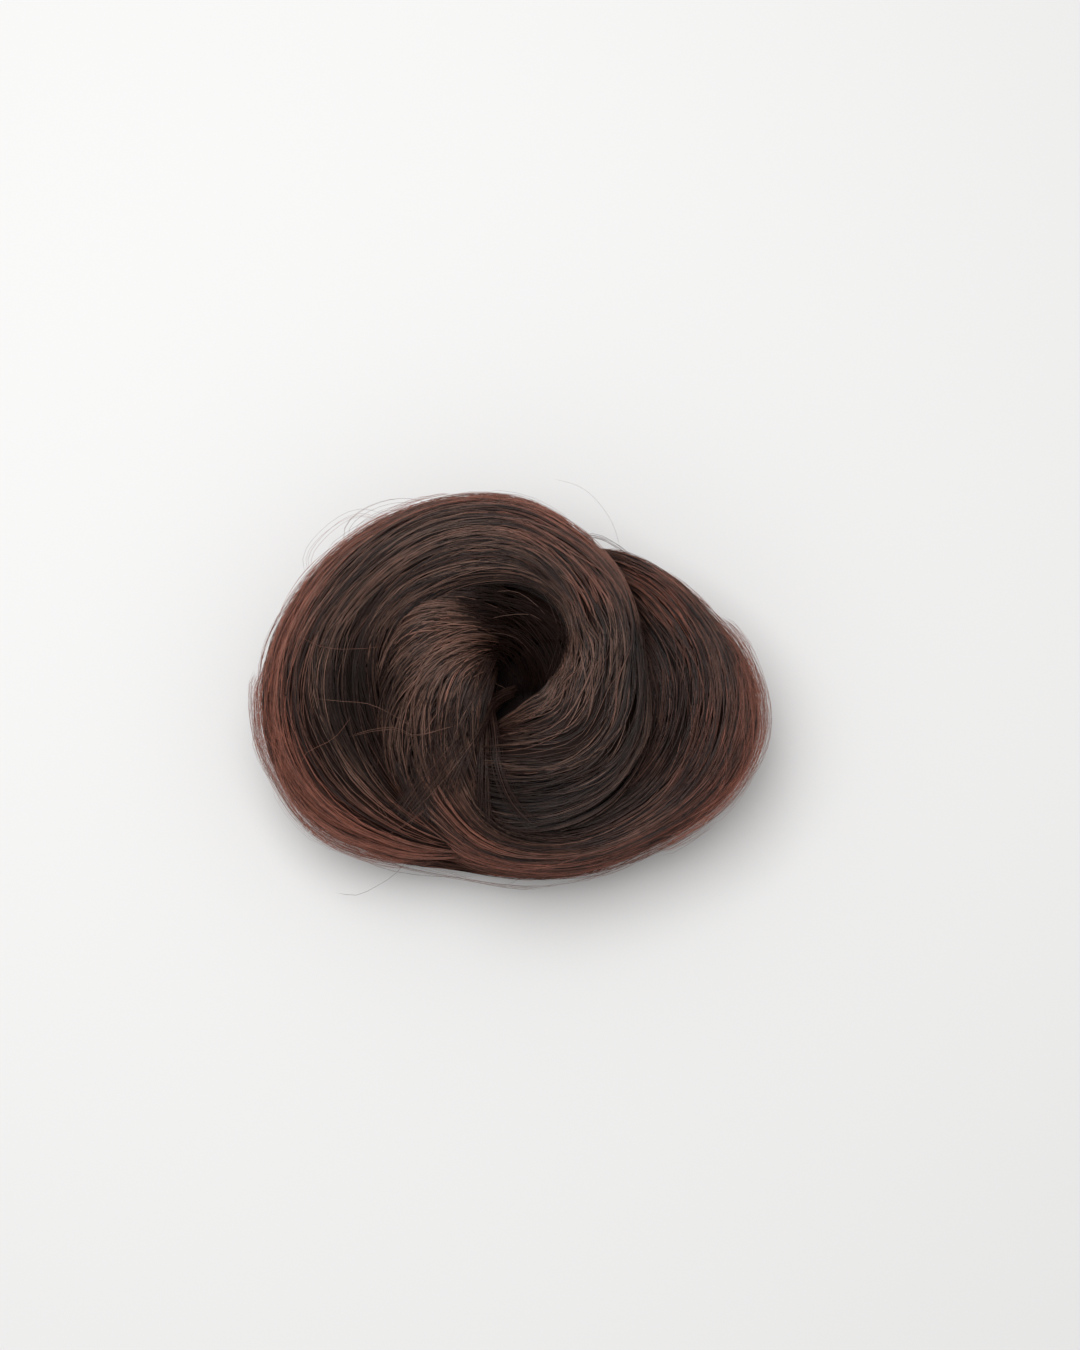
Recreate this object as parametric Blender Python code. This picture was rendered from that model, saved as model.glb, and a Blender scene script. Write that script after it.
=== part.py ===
"""Top knot hairpiece: two long locks of hair wound round each other over a coil, sewn to an elastic loop.

Units are metres and +Z is up. The origin is the centre of the footprint, on the surface that the piece
rests on, with +X to the wearer's right and +Y to the back. Azimuths run anticlockwise from +X about the
axis of the hollow, seen from above. A lock is a loft through sections that stand in half planes on that
axis, and its two free ends are tucked under its neighbour.
"""

import math
from collections import namedtuple

import bmesh
import bpy
from mathutils import Matrix

# Overall size, loose hair included: the locks stop about 1 mm inside it
WIDTH = 0.115
DEPTH = 0.089
HEIGHT = 0.048

# Axis of the hollow that the hair winds round, from the centre of the footprint
HOLLOW_X = 0.0034
HOLLOW_Y = 0.0018

# Hollow underneath, which takes the wearer's own knot of hair, and the domed roof over it
HOLLOW_RADIUS = 0.0150
HOLLOW_HEIGHT = 0.0200
ROOF_THICKNESS = 0.0050
ROOF_RADIUS = 0.0300

# Elastic loop, sunk into the wall of the hollow
ELASTIC_THICKNESS = 0.0050
ELASTIC_SHOWING = 0.0015
ELASTIC_LIFT = 0.0020

# Gap between pieces that touch
CLEARANCE = 0.0003

# Ridges of hair that run along each lock
RIDGE_HEIGHT = 0.0007
RIDGES_AROUND = 7

# Squareness of a section: 2 is an ellipse, and more is squarer
SQUARENESS = 2.4

# One section of a lock. The azimuth is in degrees. Inner and outer are shares of the half width along X
# and of the half depth along Y, measured from the axis. Base, top and lean are shares of the height, and
# lean is how far the section drops from its inner side to its outer side.
Section = namedtuple("Section", "azimuth inner outer base top lean")

# Starts in the seam at the front, winds round the hollow by the right, the back and the left, and ends
# low at the front, under the wrap lock.
CROWN_SECTIONS = (
    Section(azimuth=240, inner=0.42, outer=0.60, base=0.38, top=0.66, lean=0.04),
    Section(azimuth=254, inner=0.28, outer=0.77, base=0.30, top=0.80, lean=0.08),
    Section(azimuth=272, inner=0.20, outer=0.86, base=0.24, top=0.90, lean=0.16),
    Section(azimuth=292, inner=0.17, outer=0.81, base=0.22, top=0.94, lean=0.18),
    Section(azimuth=315, inner=0.14, outer=0.67, base=0.20, top=0.96, lean=0.18),
    Section(azimuth=338, inner=0.14, outer=0.54, base=0.20, top=0.97, lean=0.12),
    Section(azimuth=362, inner=0.15, outer=0.48, base=0.20, top=0.98, lean=0.08),
    Section(azimuth=386, inner=0.19, outer=0.50, base=0.20, top=0.98, lean=0.08),
    Section(azimuth=410, inner=0.26, outer=0.60, base=0.20, top=0.97, lean=0.14),
    Section(azimuth=432, inner=0.34, outer=0.73, base=0.20, top=0.95, lean=0.22),
    Section(azimuth=452, inner=0.40, outer=0.89, base=0.20, top=0.92, lean=0.26),
    Section(azimuth=472, inner=0.43, outer=0.96, base=0.22, top=0.90, lean=0.28),
    Section(azimuth=494, inner=0.45, outer=0.98, base=0.22, top=0.87, lean=0.28),
    Section(azimuth=518, inner=0.46, outer=1.00, base=0.22, top=0.82, lean=0.26),
    Section(azimuth=542, inner=0.49, outer=1.04, base=0.22, top=0.77, lean=0.20),
    Section(azimuth=565, inner=0.56, outer=1.09, base=0.22, top=0.70, lean=0.18),
    Section(azimuth=585, inner=0.66, outer=1.12, base=0.22, top=0.61, lean=0.16),
    Section(azimuth=602, inner=0.78, outer=1.05, base=0.24, top=0.51, lean=0.10),
    Section(azimuth=616, inner=0.86, outer=0.95, base=0.30, top=0.44, lean=0.02),
)

# Starts in the hollow, under the inner edge of the crown lock, runs down the left side, crosses the front
# over both ends of the crown lock, rounds the right side and ends at the back right, under it again.
WRAP_SECTIONS = (
    Section(azimuth=30, inner=0.22, outer=0.33, base=0.46, top=0.58, lean=0.00),
    Section(azimuth=60, inner=0.14, outer=0.40, base=0.42, top=0.61, lean=-0.06),
    Section(azimuth=90, inner=0.09, outer=0.46, base=0.38, top=0.67, lean=-0.12),
    Section(azimuth=122, inner=0.08, outer=0.50, base=0.34, top=0.77, lean=-0.16),
    Section(azimuth=150, inner=0.09, outer=0.53, base=0.30, top=0.87, lean=-0.14),
    Section(azimuth=178, inner=0.10, outer=0.56, base=0.26, top=0.93, lean=-0.04),
    Section(azimuth=202, inner=0.12, outer=0.63, base=0.24, top=0.94, lean=0.06),
    Section(azimuth=222, inner=0.16, outer=0.74, base=0.24, top=0.91, lean=0.14),
    Section(azimuth=236, inner=0.25, outer=0.84, base=0.24, top=0.87, lean=0.18),
    Section(azimuth=247, inner=0.42, outer=0.91, base=0.24, top=0.80, lean=0.18),
    Section(azimuth=257, inner=0.62, outer=0.97, base=0.24, top=0.71, lean=0.14),
    Section(azimuth=267, inner=0.74, outer=1.00, base=0.24, top=0.64, lean=0.10),
    Section(azimuth=282, inner=0.77, outer=1.02, base=0.24, top=0.60, lean=0.08),
    Section(azimuth=302, inner=0.70, outer=1.01, base=0.22, top=0.62, lean=0.12),
    Section(azimuth=322, inner=0.58, outer=1.01, base=0.22, top=0.68, lean=0.18),
    Section(azimuth=342, inner=0.47, outer=0.97, base=0.22, top=0.72, lean=0.20),
    Section(azimuth=362, inner=0.43, outer=0.89, base=0.22, top=0.73, lean=0.20),
    Section(azimuth=382, inner=0.45, outer=0.80, base=0.22, top=0.72, lean=0.16),
    Section(azimuth=402, inner=0.50, outer=0.76, base=0.22, top=0.67, lean=0.12),
    Section(azimuth=420, inner=0.54, outer=0.73, base=0.22, top=0.57, lean=0.06),
    Section(azimuth=436, inner=0.56, outer=0.67, base=0.24, top=0.45, lean=0.02),
)

# Closed ring under the two locks. Its inner wall is the hollow's.
BASE_SECTIONS = (
    Section(azimuth=0, inner=0.16, outer=0.85, base=-0.06, top=0.40, lean=0.04),
    Section(azimuth=30, inner=0.16, outer=0.73, base=-0.06, top=0.40, lean=0.04),
    Section(azimuth=60, inner=0.18, outer=0.69, base=-0.06, top=0.40, lean=0.04),
    Section(azimuth=90, inner=0.20, outer=0.83, base=-0.06, top=0.40, lean=0.06),
    Section(azimuth=120, inner=0.20, outer=0.93, base=-0.06, top=0.40, lean=0.08),
    Section(azimuth=150, inner=0.18, outer=0.95, base=-0.06, top=0.40, lean=0.08),
    Section(azimuth=180, inner=0.16, outer=0.99, base=-0.06, top=0.40, lean=0.08),
    Section(azimuth=205, inner=0.16, outer=1.04, base=-0.06, top=0.42, lean=0.10),
    Section(azimuth=230, inner=0.18, outer=1.07, base=-0.06, top=0.44, lean=0.12),
    Section(azimuth=255, inner=0.20, outer=1.01, base=-0.06, top=0.42, lean=0.10),
    Section(azimuth=280, inner=0.20, outer=1.02, base=-0.06, top=0.40, lean=0.08),
    Section(azimuth=305, inner=0.18, outer=0.97, base=-0.06, top=0.40, lean=0.06),
    Section(azimuth=335, inner=0.16, outer=0.95, base=-0.06, top=0.40, lean=0.04),
)

FULL_TURN = 360.0


def slope_at(rows, column, index, closed):
    """Slope of one column of a table at one of its rows, per degree of azimuth."""
    count = len(rows)
    before, after = index - 1, index + 1
    if closed:
        turn_before = -FULL_TURN if before < 0 else 0.0
        turn_after = FULL_TURN if after >= count else 0.0
        before, after = before % count, after % count
    else:
        turn_before = turn_after = 0.0
        before, after = max(before, 0), min(after, count - 1)
    start, end = rows[before], rows[after]
    span = (end.azimuth + turn_after) - (start.azimuth + turn_before)
    return (getattr(end, column) - getattr(start, column)) / span


def column_at(rows, column, azimuth, closed=False):
    """Value of one column at any azimuth, on a smooth curve through the rows."""
    count = len(rows)
    index = sum(1 for row in rows if row.azimuth <= azimuth) - 1
    index = max(0, index if closed else min(index, count - 2))
    following = (index + 1) % count
    start, end = rows[index], rows[following]
    span = (end.azimuth - start.azimuth) % FULL_TURN
    share = (azimuth - start.azimuth) / span
    first, last = getattr(start, column), getattr(end, column)
    rise_first = slope_at(rows, column, index, closed) * span
    rise_last = slope_at(rows, column, following, closed) * span
    square, cube = share**2, share**3
    return (
        (2 * cube - 3 * square + 1) * first
        + (cube - 2 * square + share) * rise_first
        + (3 * square - 2 * cube) * last
        + (cube - square) * rise_last
    )


def rounded(wave):
    """Cosine or sine value, pushed out so that the section is squarer than an ellipse."""
    return math.copysign(abs(wave) ** (2.0 / SQUARENESS), wave)


def ridge_swell(turn, azimuth):
    """Height of the ridges of hair at a place on a section, from -RIDGE_HEIGHT to RIDGE_HEIGHT."""
    drift = math.radians(azimuth)
    broad = math.cos(RIDGES_AROUND * turn + 0.7 * drift)
    fine = math.cos((RIDGES_AROUND + 4) * turn - 0.9 * drift)
    return RIDGE_HEIGHT * (0.6 * broad + 0.4 * fine)


def section_points(rows, azimuth, around, closed):
    """Closed ring of points of one section, in its half plane on the axis of the hollow."""
    inner, outer, base, top, lean = (
        column_at(rows, column, azimuth, closed) for column in Section._fields[1:]
    )
    cosine, sine = math.cos(math.radians(azimuth)), math.sin(math.radians(azimuth))
    reach = math.hypot(cosine * WIDTH / 2, sine * DEPTH / 2)
    middle, half = (inner + outer) / 2, (outer - inner) / 2
    level, rise = (base + top) / 2 * HEIGHT, (top - base) / 2 * HEIGHT
    points = []
    for step in range(around):
        turn = 2 * math.pi * step / around
        across, upward = rounded(math.cos(turn)), rounded(math.sin(turn))
        swell = ridge_swell(turn, azimuth)
        radial = middle + half * across + swell * across / reach
        height = level + rise * upward + swell * upward - lean * HEIGHT * across / 2
        points.append(
            (
                HOLLOW_X + radial * cosine * WIDTH / 2,
                HOLLOW_Y + radial * sine * DEPTH / 2,
                height,
            )
        )
    return points


def loft(name, rows, stations, around, closed):
    """Mesh object through evenly spaced sections. An open loft is closed by a flat face at each end."""
    first = rows[0].azimuth
    span = FULL_TURN if closed else rows[-1].azimuth - first
    steps = stations if closed else stations - 1
    shape = bmesh.new()
    rings = [
        [
            shape.verts.new(point)
            for point in section_points(rows, first + span * station / steps, around, closed)
        ]
        for station in range(stations)
    ]
    following = rings[1:] + rings[:1] if closed else rings[1:]
    for ring, next_ring in zip(rings, following):
        for step in range(around):
            beside = (step + 1) % around
            shape.faces.new((ring[step], ring[beside], next_ring[beside], next_ring[step]))
    if not closed:
        shape.faces.new(rings[0])
        shape.faces.new(rings[-1])
    bmesh.ops.recalc_face_normals(shape, faces=shape.faces)
    mesh = bpy.data.meshes.new(name)
    shape.to_mesh(mesh)
    shape.free()
    mesh.shade_smooth()
    mesh.set_sharp_from_angle(angle=math.radians(50))
    return bpy.data.objects.new(name, mesh)


def torus(name, ring_radius, tube_radius, height):
    """Ring of round section about the axis of the hollow."""
    bpy.ops.mesh.primitive_torus_add(
        major_radius=ring_radius,
        minor_radius=tube_radius,
        major_segments=32,
        minor_segments=8,
        location=(HOLLOW_X, HOLLOW_Y, height),
    )
    ring = bpy.context.object
    ring.name = name
    ring.data.shade_smooth()
    return ring


def cylinder(name, radius, low, high):
    """Round bar about the axis of the hollow, between two heights."""
    bpy.ops.mesh.primitive_cylinder_add(
        vertices=40,
        radius=radius,
        depth=high - low,
        location=(HOLLOW_X, HOLLOW_Y, (low + high) / 2),
    )
    bar = bpy.context.object
    bar.name = name
    return bar


def dome(name, radius, rise, height):
    """Flattened ball about the axis of the hollow, with its middle at one height."""
    bpy.ops.mesh.primitive_uv_sphere_add(segments=32, ring_count=12, radius=radius)
    ball = bpy.context.object
    ball.name = name
    ball.data.transform(Matrix.Diagonal((1.0, 1.0, rise / radius, 1.0)))
    ball.location = (HOLLOW_X, HOLLOW_Y, height)
    return ball


def floor_block():
    """Block under the surface that the piece rests on, larger than the footprint."""
    bpy.ops.mesh.primitive_cube_add(size=1.0, location=(0.0, 0.0, -HEIGHT / 2))
    block = bpy.context.object
    block.name = "floor_cutter"
    block.data.transform(Matrix.Diagonal((WIDTH * 2, DEPTH * 2, HEIGHT, 1.0)))
    return block


def grown(source, name):
    """Copy of an object, with its surface moved out by the gap that touching pieces keep."""
    copy = bpy.data.objects.new(name, source.data.copy())
    copy.location = source.location
    swell = copy.modifiers.new("gap", "DISPLACE")
    swell.direction = "NORMAL"
    swell.mid_level = 0.0
    swell.strength = CLEARANCE
    return copy


def combine(target, tool, operation="DIFFERENCE"):
    """Takes one object out of another, or joins it on with the operation UNION."""
    boolean = target.modifiers.new(f"{operation.lower()}_{tool.name}", "BOOLEAN")
    boolean.operation = operation
    boolean.solver = "EXACT"
    boolean.object = tool


def finish(name, colour, roughness):
    """Material of one sub-part."""
    material = bpy.data.materials.new(name)
    material.use_nodes = True
    shader = material.node_tree.nodes["Principled BSDF"]
    shader.inputs["Base Color"].default_value = (*colour, 1.0)
    shader.inputs["Roughness"].default_value = roughness
    shader.inputs["Metallic"].default_value = 0.0
    return material


def place(collection, *things):
    """Moves objects into one collection, out of any other."""
    for thing in things:
        for old in tuple(thing.users_collection):
            old.objects.unlink(thing)
        collection.objects.link(thing)


def frozen(target):
    """Gives an object the mesh that its modifiers make, and takes the modifiers off."""
    target.data = bpy.data.meshes.new_from_object(
        target.evaluated_get(bpy.context.evaluated_depsgraph_get())
    )
    target.modifiers.clear()


def main():
    for old in tuple(bpy.data.objects):
        bpy.data.objects.remove(old)
    parts = bpy.data.collections.new("top_knot_hairpiece")
    cutters = bpy.data.collections.new("cutters")
    for collection in (parts, cutters):
        bpy.context.scene.collection.children.link(collection)

    crown = loft("crown_lock", CROWN_SECTIONS, stations=58, around=32, closed=False)
    wrap = loft("wrap_lock", WRAP_SECTIONS, stations=60, around=28, closed=False)
    base = loft("base_coil", BASE_SECTIONS, stations=44, around=24, closed=True)
    elastic = torus(
        "elastic_loop",
        HOLLOW_RADIUS + ELASTIC_THICKNESS / 2 - ELASTIC_SHOWING,
        ELASTIC_THICKNESS / 2,
        ELASTIC_LIFT + ELASTIC_THICKNESS / 2,
    )
    place(parts, crown, wrap, base, elastic)

    hollow = cylinder("hollow_cutter", HOLLOW_RADIUS, -HEIGHT, HOLLOW_HEIGHT)
    floor = floor_block()
    roof = dome("roof", ROOF_RADIUS, HOLLOW_HEIGHT / 2 + ROOF_THICKNESS, HOLLOW_HEIGHT / 2)
    place(cutters, hollow, floor, roof)
    combine(base, roof, "UNION")
    frozen(base)
    wrap_gap = grown(wrap, "wrap_gap")
    base_gap = grown(base, "base_gap")
    elastic_gap = grown(elastic, "elastic_gap")
    place(cutters, wrap_gap, base_gap, elastic_gap)
    for cutter in cutters.objects:
        cutter.hide_render = True
        cutter.display_type = "WIRE"

    for cutter in (base_gap, wrap_gap):
        combine(crown, cutter)
    combine(wrap, base_gap)
    for cutter in (hollow, elastic_gap, floor):
        combine(base, cutter)

    crown.data.materials.append(finish("crown_hair", (0.052, 0.030, 0.024), 0.42))
    wrap.data.materials.append(finish("wrap_hair", (0.060, 0.033, 0.026), 0.42))
    base.data.materials.append(finish("base_hair", (0.085, 0.040, 0.030), 0.45))
    elastic.data.materials.append(finish("elastic_cloth", (0.020, 0.017, 0.016), 0.80))


main()
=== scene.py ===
"""Looks of the top knot hairpiece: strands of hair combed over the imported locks, on a pale studio floor.

Units are metres and +Z is up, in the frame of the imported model. Azimuths run anticlockwise from +X about
the axis of the hollow, seen from above. Every body of hair is a form: a grid of places, with one row for
each azimuth and one column for each share of the way round its section. A core closes the form from
inside, and wisps of strands are combed over it.
"""

from __future__ import annotations

import logging
import math
from dataclasses import dataclass, field, replace
from enum import Enum
from typing import Iterable

import bpy
import numpy as np
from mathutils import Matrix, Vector
from mathutils.bvhtree import BVHTree

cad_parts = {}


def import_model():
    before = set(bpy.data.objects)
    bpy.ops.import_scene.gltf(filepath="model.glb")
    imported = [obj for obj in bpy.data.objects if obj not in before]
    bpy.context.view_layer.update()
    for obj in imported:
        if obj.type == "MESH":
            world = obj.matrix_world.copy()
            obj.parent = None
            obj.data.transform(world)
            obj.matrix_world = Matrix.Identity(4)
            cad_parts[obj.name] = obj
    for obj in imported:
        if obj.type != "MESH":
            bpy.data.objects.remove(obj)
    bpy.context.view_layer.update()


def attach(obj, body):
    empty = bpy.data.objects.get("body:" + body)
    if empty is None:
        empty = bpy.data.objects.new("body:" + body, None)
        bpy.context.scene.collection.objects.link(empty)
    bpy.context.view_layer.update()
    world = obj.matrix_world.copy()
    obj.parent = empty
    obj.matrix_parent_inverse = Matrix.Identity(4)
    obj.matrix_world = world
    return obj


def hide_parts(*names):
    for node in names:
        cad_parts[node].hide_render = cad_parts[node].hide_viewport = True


LOG = logging.getLogger("top_knot")

MM = 0.001
FULL_TURN = 360.0

# Overall size of the knot, and the axis that its hair winds round
WIDTH = 115 * MM
DEPTH = 89 * MM
HEIGHT = 48 * MM
HOLLOW_X = 3.4 * MM
HOLLOW_Y = 1.8 * MM

# Hollow underneath, and the domed roof over it
HOLLOW_RADIUS = 15 * MM
HOLLOW_HEIGHT = 20 * MM
ROOF_THICKNESS = 5 * MM
ROOF_RADIUS = 30 * MM

# Elastic loop in the wall of the hollow
ELASTIC_THICKNESS = 5 * MM
ELASTIC_SHOWING = 1.5 * MM
ELASTIC_LIFT = 2 * MM

# Squareness of a section: 2 is an ellipse, and more is squarer
SQUARENESS = 2.4

# The colour attribute of all hair: tone in red, with painted light and shade in it, and auburn share in
# green, with painted glow at the rims in it
HAIR_ATTRIBUTE = "hair_tone"

# How the strands of one wisp differ from each other
STRAND_LIFT_NOISE = 0.12 * MM
STRAND_SINK_NOISE = 0.25 * MM
STRAND_WAVE = 0.15 * MM
TUCKED_SHARE = 0.14

# Limits that keep strands sound: length over one degree, way round a section, and length of a strand
SLOWEST_PACE = 0.12 * MM
SMALLEST_GIRTH = 20 * MM
SHORTEST_STRAND = 10 * MM

# Drift of all hair round the sections, and the ridges of a core
BROAD_DRIFT = 0.012
FINE_DRIFT = 0.006
BROAD_RIDGES = 23
FINE_RIDGES = 37

# Length and way round of a core in its texture, and the depth of its combed relief
CORE_LENGTH = 160 * MM
CORE_GIRTH = 110 * MM
RELIEF_DEPTH = 0.3 * MM

# Hair along given routes: its step, a height above all hair, and the rounds that draw it taut
GUIDE_STEP = 2.2 * MM
ABOVE_ALL = 200 * MM
SETTLING_ROUNDS = 60

# Least height of a tube over the floor, and the least length that is divided by
LOWEST = 0.02 * MM
TINY = 1e-12


class Slot(Enum):
    """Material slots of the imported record."""

    CROWN = "crown_hair"
    WRAP = "wrap_hair"
    BASE = "base_hair"
    ELASTIC = "elastic_cloth"


@dataclass(frozen=True)
class Section:
    """One section of a lock, in a half plane on the axis of the hollow.

    The azimuth is in degrees. Inner and outer are shares of the half width along X and of the half depth
    along Y. Base, top and lean are shares of the height, and lean is the drop from inner to outer side.
    """

    azimuth: float
    inner: float
    outer: float
    base: float
    top: float
    lean: float


CROWN_SECTIONS = (
    Section(240, 0.42, 0.60, 0.38, 0.66, 0.04),
    Section(254, 0.28, 0.77, 0.30, 0.80, 0.08),
    Section(272, 0.20, 0.86, 0.24, 0.90, 0.16),
    Section(292, 0.17, 0.81, 0.22, 0.94, 0.18),
    Section(315, 0.14, 0.67, 0.20, 0.96, 0.18),
    Section(338, 0.14, 0.54, 0.20, 0.97, 0.12),
    Section(362, 0.15, 0.48, 0.20, 0.98, 0.08),
    Section(386, 0.19, 0.50, 0.20, 0.98, 0.08),
    Section(410, 0.26, 0.60, 0.20, 0.97, 0.14),
    Section(432, 0.34, 0.73, 0.20, 0.95, 0.22),
    Section(452, 0.40, 0.89, 0.20, 0.92, 0.26),
    Section(472, 0.43, 0.96, 0.22, 0.90, 0.28),
    Section(494, 0.45, 0.98, 0.22, 0.87, 0.28),
    Section(518, 0.46, 1.00, 0.22, 0.82, 0.26),
    Section(542, 0.49, 1.04, 0.22, 0.77, 0.20),
    Section(565, 0.56, 1.09, 0.22, 0.70, 0.18),
    Section(585, 0.66, 1.12, 0.22, 0.61, 0.16),
    Section(602, 0.78, 1.05, 0.24, 0.51, 0.10),
    Section(616, 0.86, 0.95, 0.30, 0.44, 0.02),
)

WRAP_SECTIONS = (
    Section(30, 0.22, 0.33, 0.46, 0.58, 0.00),
    Section(60, 0.14, 0.40, 0.42, 0.61, -0.06),
    Section(90, 0.09, 0.46, 0.38, 0.67, -0.12),
    Section(122, 0.08, 0.50, 0.34, 0.77, -0.16),
    Section(150, 0.09, 0.53, 0.30, 0.87, -0.14),
    Section(178, 0.10, 0.56, 0.26, 0.93, -0.04),
    Section(202, 0.12, 0.63, 0.24, 0.94, 0.06),
    Section(222, 0.16, 0.74, 0.24, 0.91, 0.14),
    Section(236, 0.25, 0.84, 0.24, 0.87, 0.18),
    Section(247, 0.42, 0.91, 0.24, 0.80, 0.18),
    Section(257, 0.62, 0.97, 0.24, 0.71, 0.14),
    Section(267, 0.74, 1.00, 0.24, 0.64, 0.10),
    Section(282, 0.77, 1.02, 0.24, 0.60, 0.08),
    Section(302, 0.70, 1.01, 0.22, 0.62, 0.12),
    Section(322, 0.58, 1.01, 0.22, 0.68, 0.18),
    Section(342, 0.47, 0.97, 0.22, 0.72, 0.20),
    Section(362, 0.43, 0.89, 0.22, 0.73, 0.20),
    Section(382, 0.45, 0.80, 0.22, 0.72, 0.16),
    Section(402, 0.50, 0.76, 0.22, 0.67, 0.12),
    Section(420, 0.54, 0.73, 0.22, 0.57, 0.06),
    Section(436, 0.56, 0.67, 0.24, 0.45, 0.02),
)

BASE_SECTIONS = (
    Section(0, 0.16, 0.85, -0.06, 0.40, 0.04),
    Section(30, 0.16, 0.73, -0.06, 0.40, 0.04),
    Section(60, 0.18, 0.69, -0.06, 0.40, 0.04),
    Section(90, 0.20, 0.83, -0.06, 0.40, 0.06),
    Section(120, 0.20, 0.93, -0.06, 0.40, 0.08),
    Section(150, 0.18, 0.95, -0.06, 0.40, 0.08),
    Section(180, 0.16, 0.99, -0.06, 0.40, 0.08),
    Section(205, 0.16, 1.04, -0.06, 0.42, 0.10),
    Section(230, 0.18, 1.07, -0.06, 0.44, 0.12),
    Section(255, 0.20, 1.01, -0.06, 0.42, 0.10),
    Section(280, 0.20, 1.02, -0.06, 0.40, 0.08),
    Section(305, 0.18, 0.97, -0.06, 0.40, 0.06),
    Section(335, 0.16, 0.95, -0.06, 0.40, 0.04),
)


def evenly(line: np.ndarray, count: int) -> np.ndarray:
    """Resamples a line of points at equal steps along its length.

    Args:
        line: Points of the line, one row each.
        count: How many points come back, both ends among them.

    Returns:
        The new points, one row each.
    """
    steps = np.linalg.norm(np.diff(line, axis=0), axis=1)
    along = np.concatenate(([0.0], np.cumsum(steps)))
    wanted = np.linspace(0.0, along[-1], count)
    return np.stack([np.interp(wanted, along, line[:, axis]) for axis in range(3)], axis=1)


def smooth_step(value: np.ndarray) -> np.ndarray:
    """Eased ramp from 0 to 1, for values below 0 to above 1."""
    ramp = np.clip(value, 0.0, 1.0)
    return ramp * ramp * (3.0 - 2.0 * ramp)


def rounded(wave: np.ndarray) -> np.ndarray:
    """Cosine or sine values, pushed out so that a section is squarer than an ellipse."""
    return np.sign(wave) * np.abs(wave) ** (2.0 / SQUARENESS)


def cells(rows: int, columns: int) -> tuple[np.ndarray, np.ndarray]:
    """Row and column of every cell of a grid, row by row."""
    row, column = np.divmod(np.arange(rows * columns), columns)
    return row, column


def cell_quads(
    row: np.ndarray, column: np.ndarray, after: np.ndarray, beside: np.ndarray, columns: int
) -> np.ndarray:
    """Faces over the cells of a form's grid, seen from outside.

    Args:
        row: Row of each cell.
        column: Column of each cell.
        after: Row on the far side of each cell.
        beside: Column on the far side of each cell.
        columns: Points in a row of the grid.

    Returns:
        The four corners of each face.
    """
    here, there = row * columns, after * columns
    return np.stack((there + column, there + beside, here + beside, here + column), axis=1)


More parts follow.
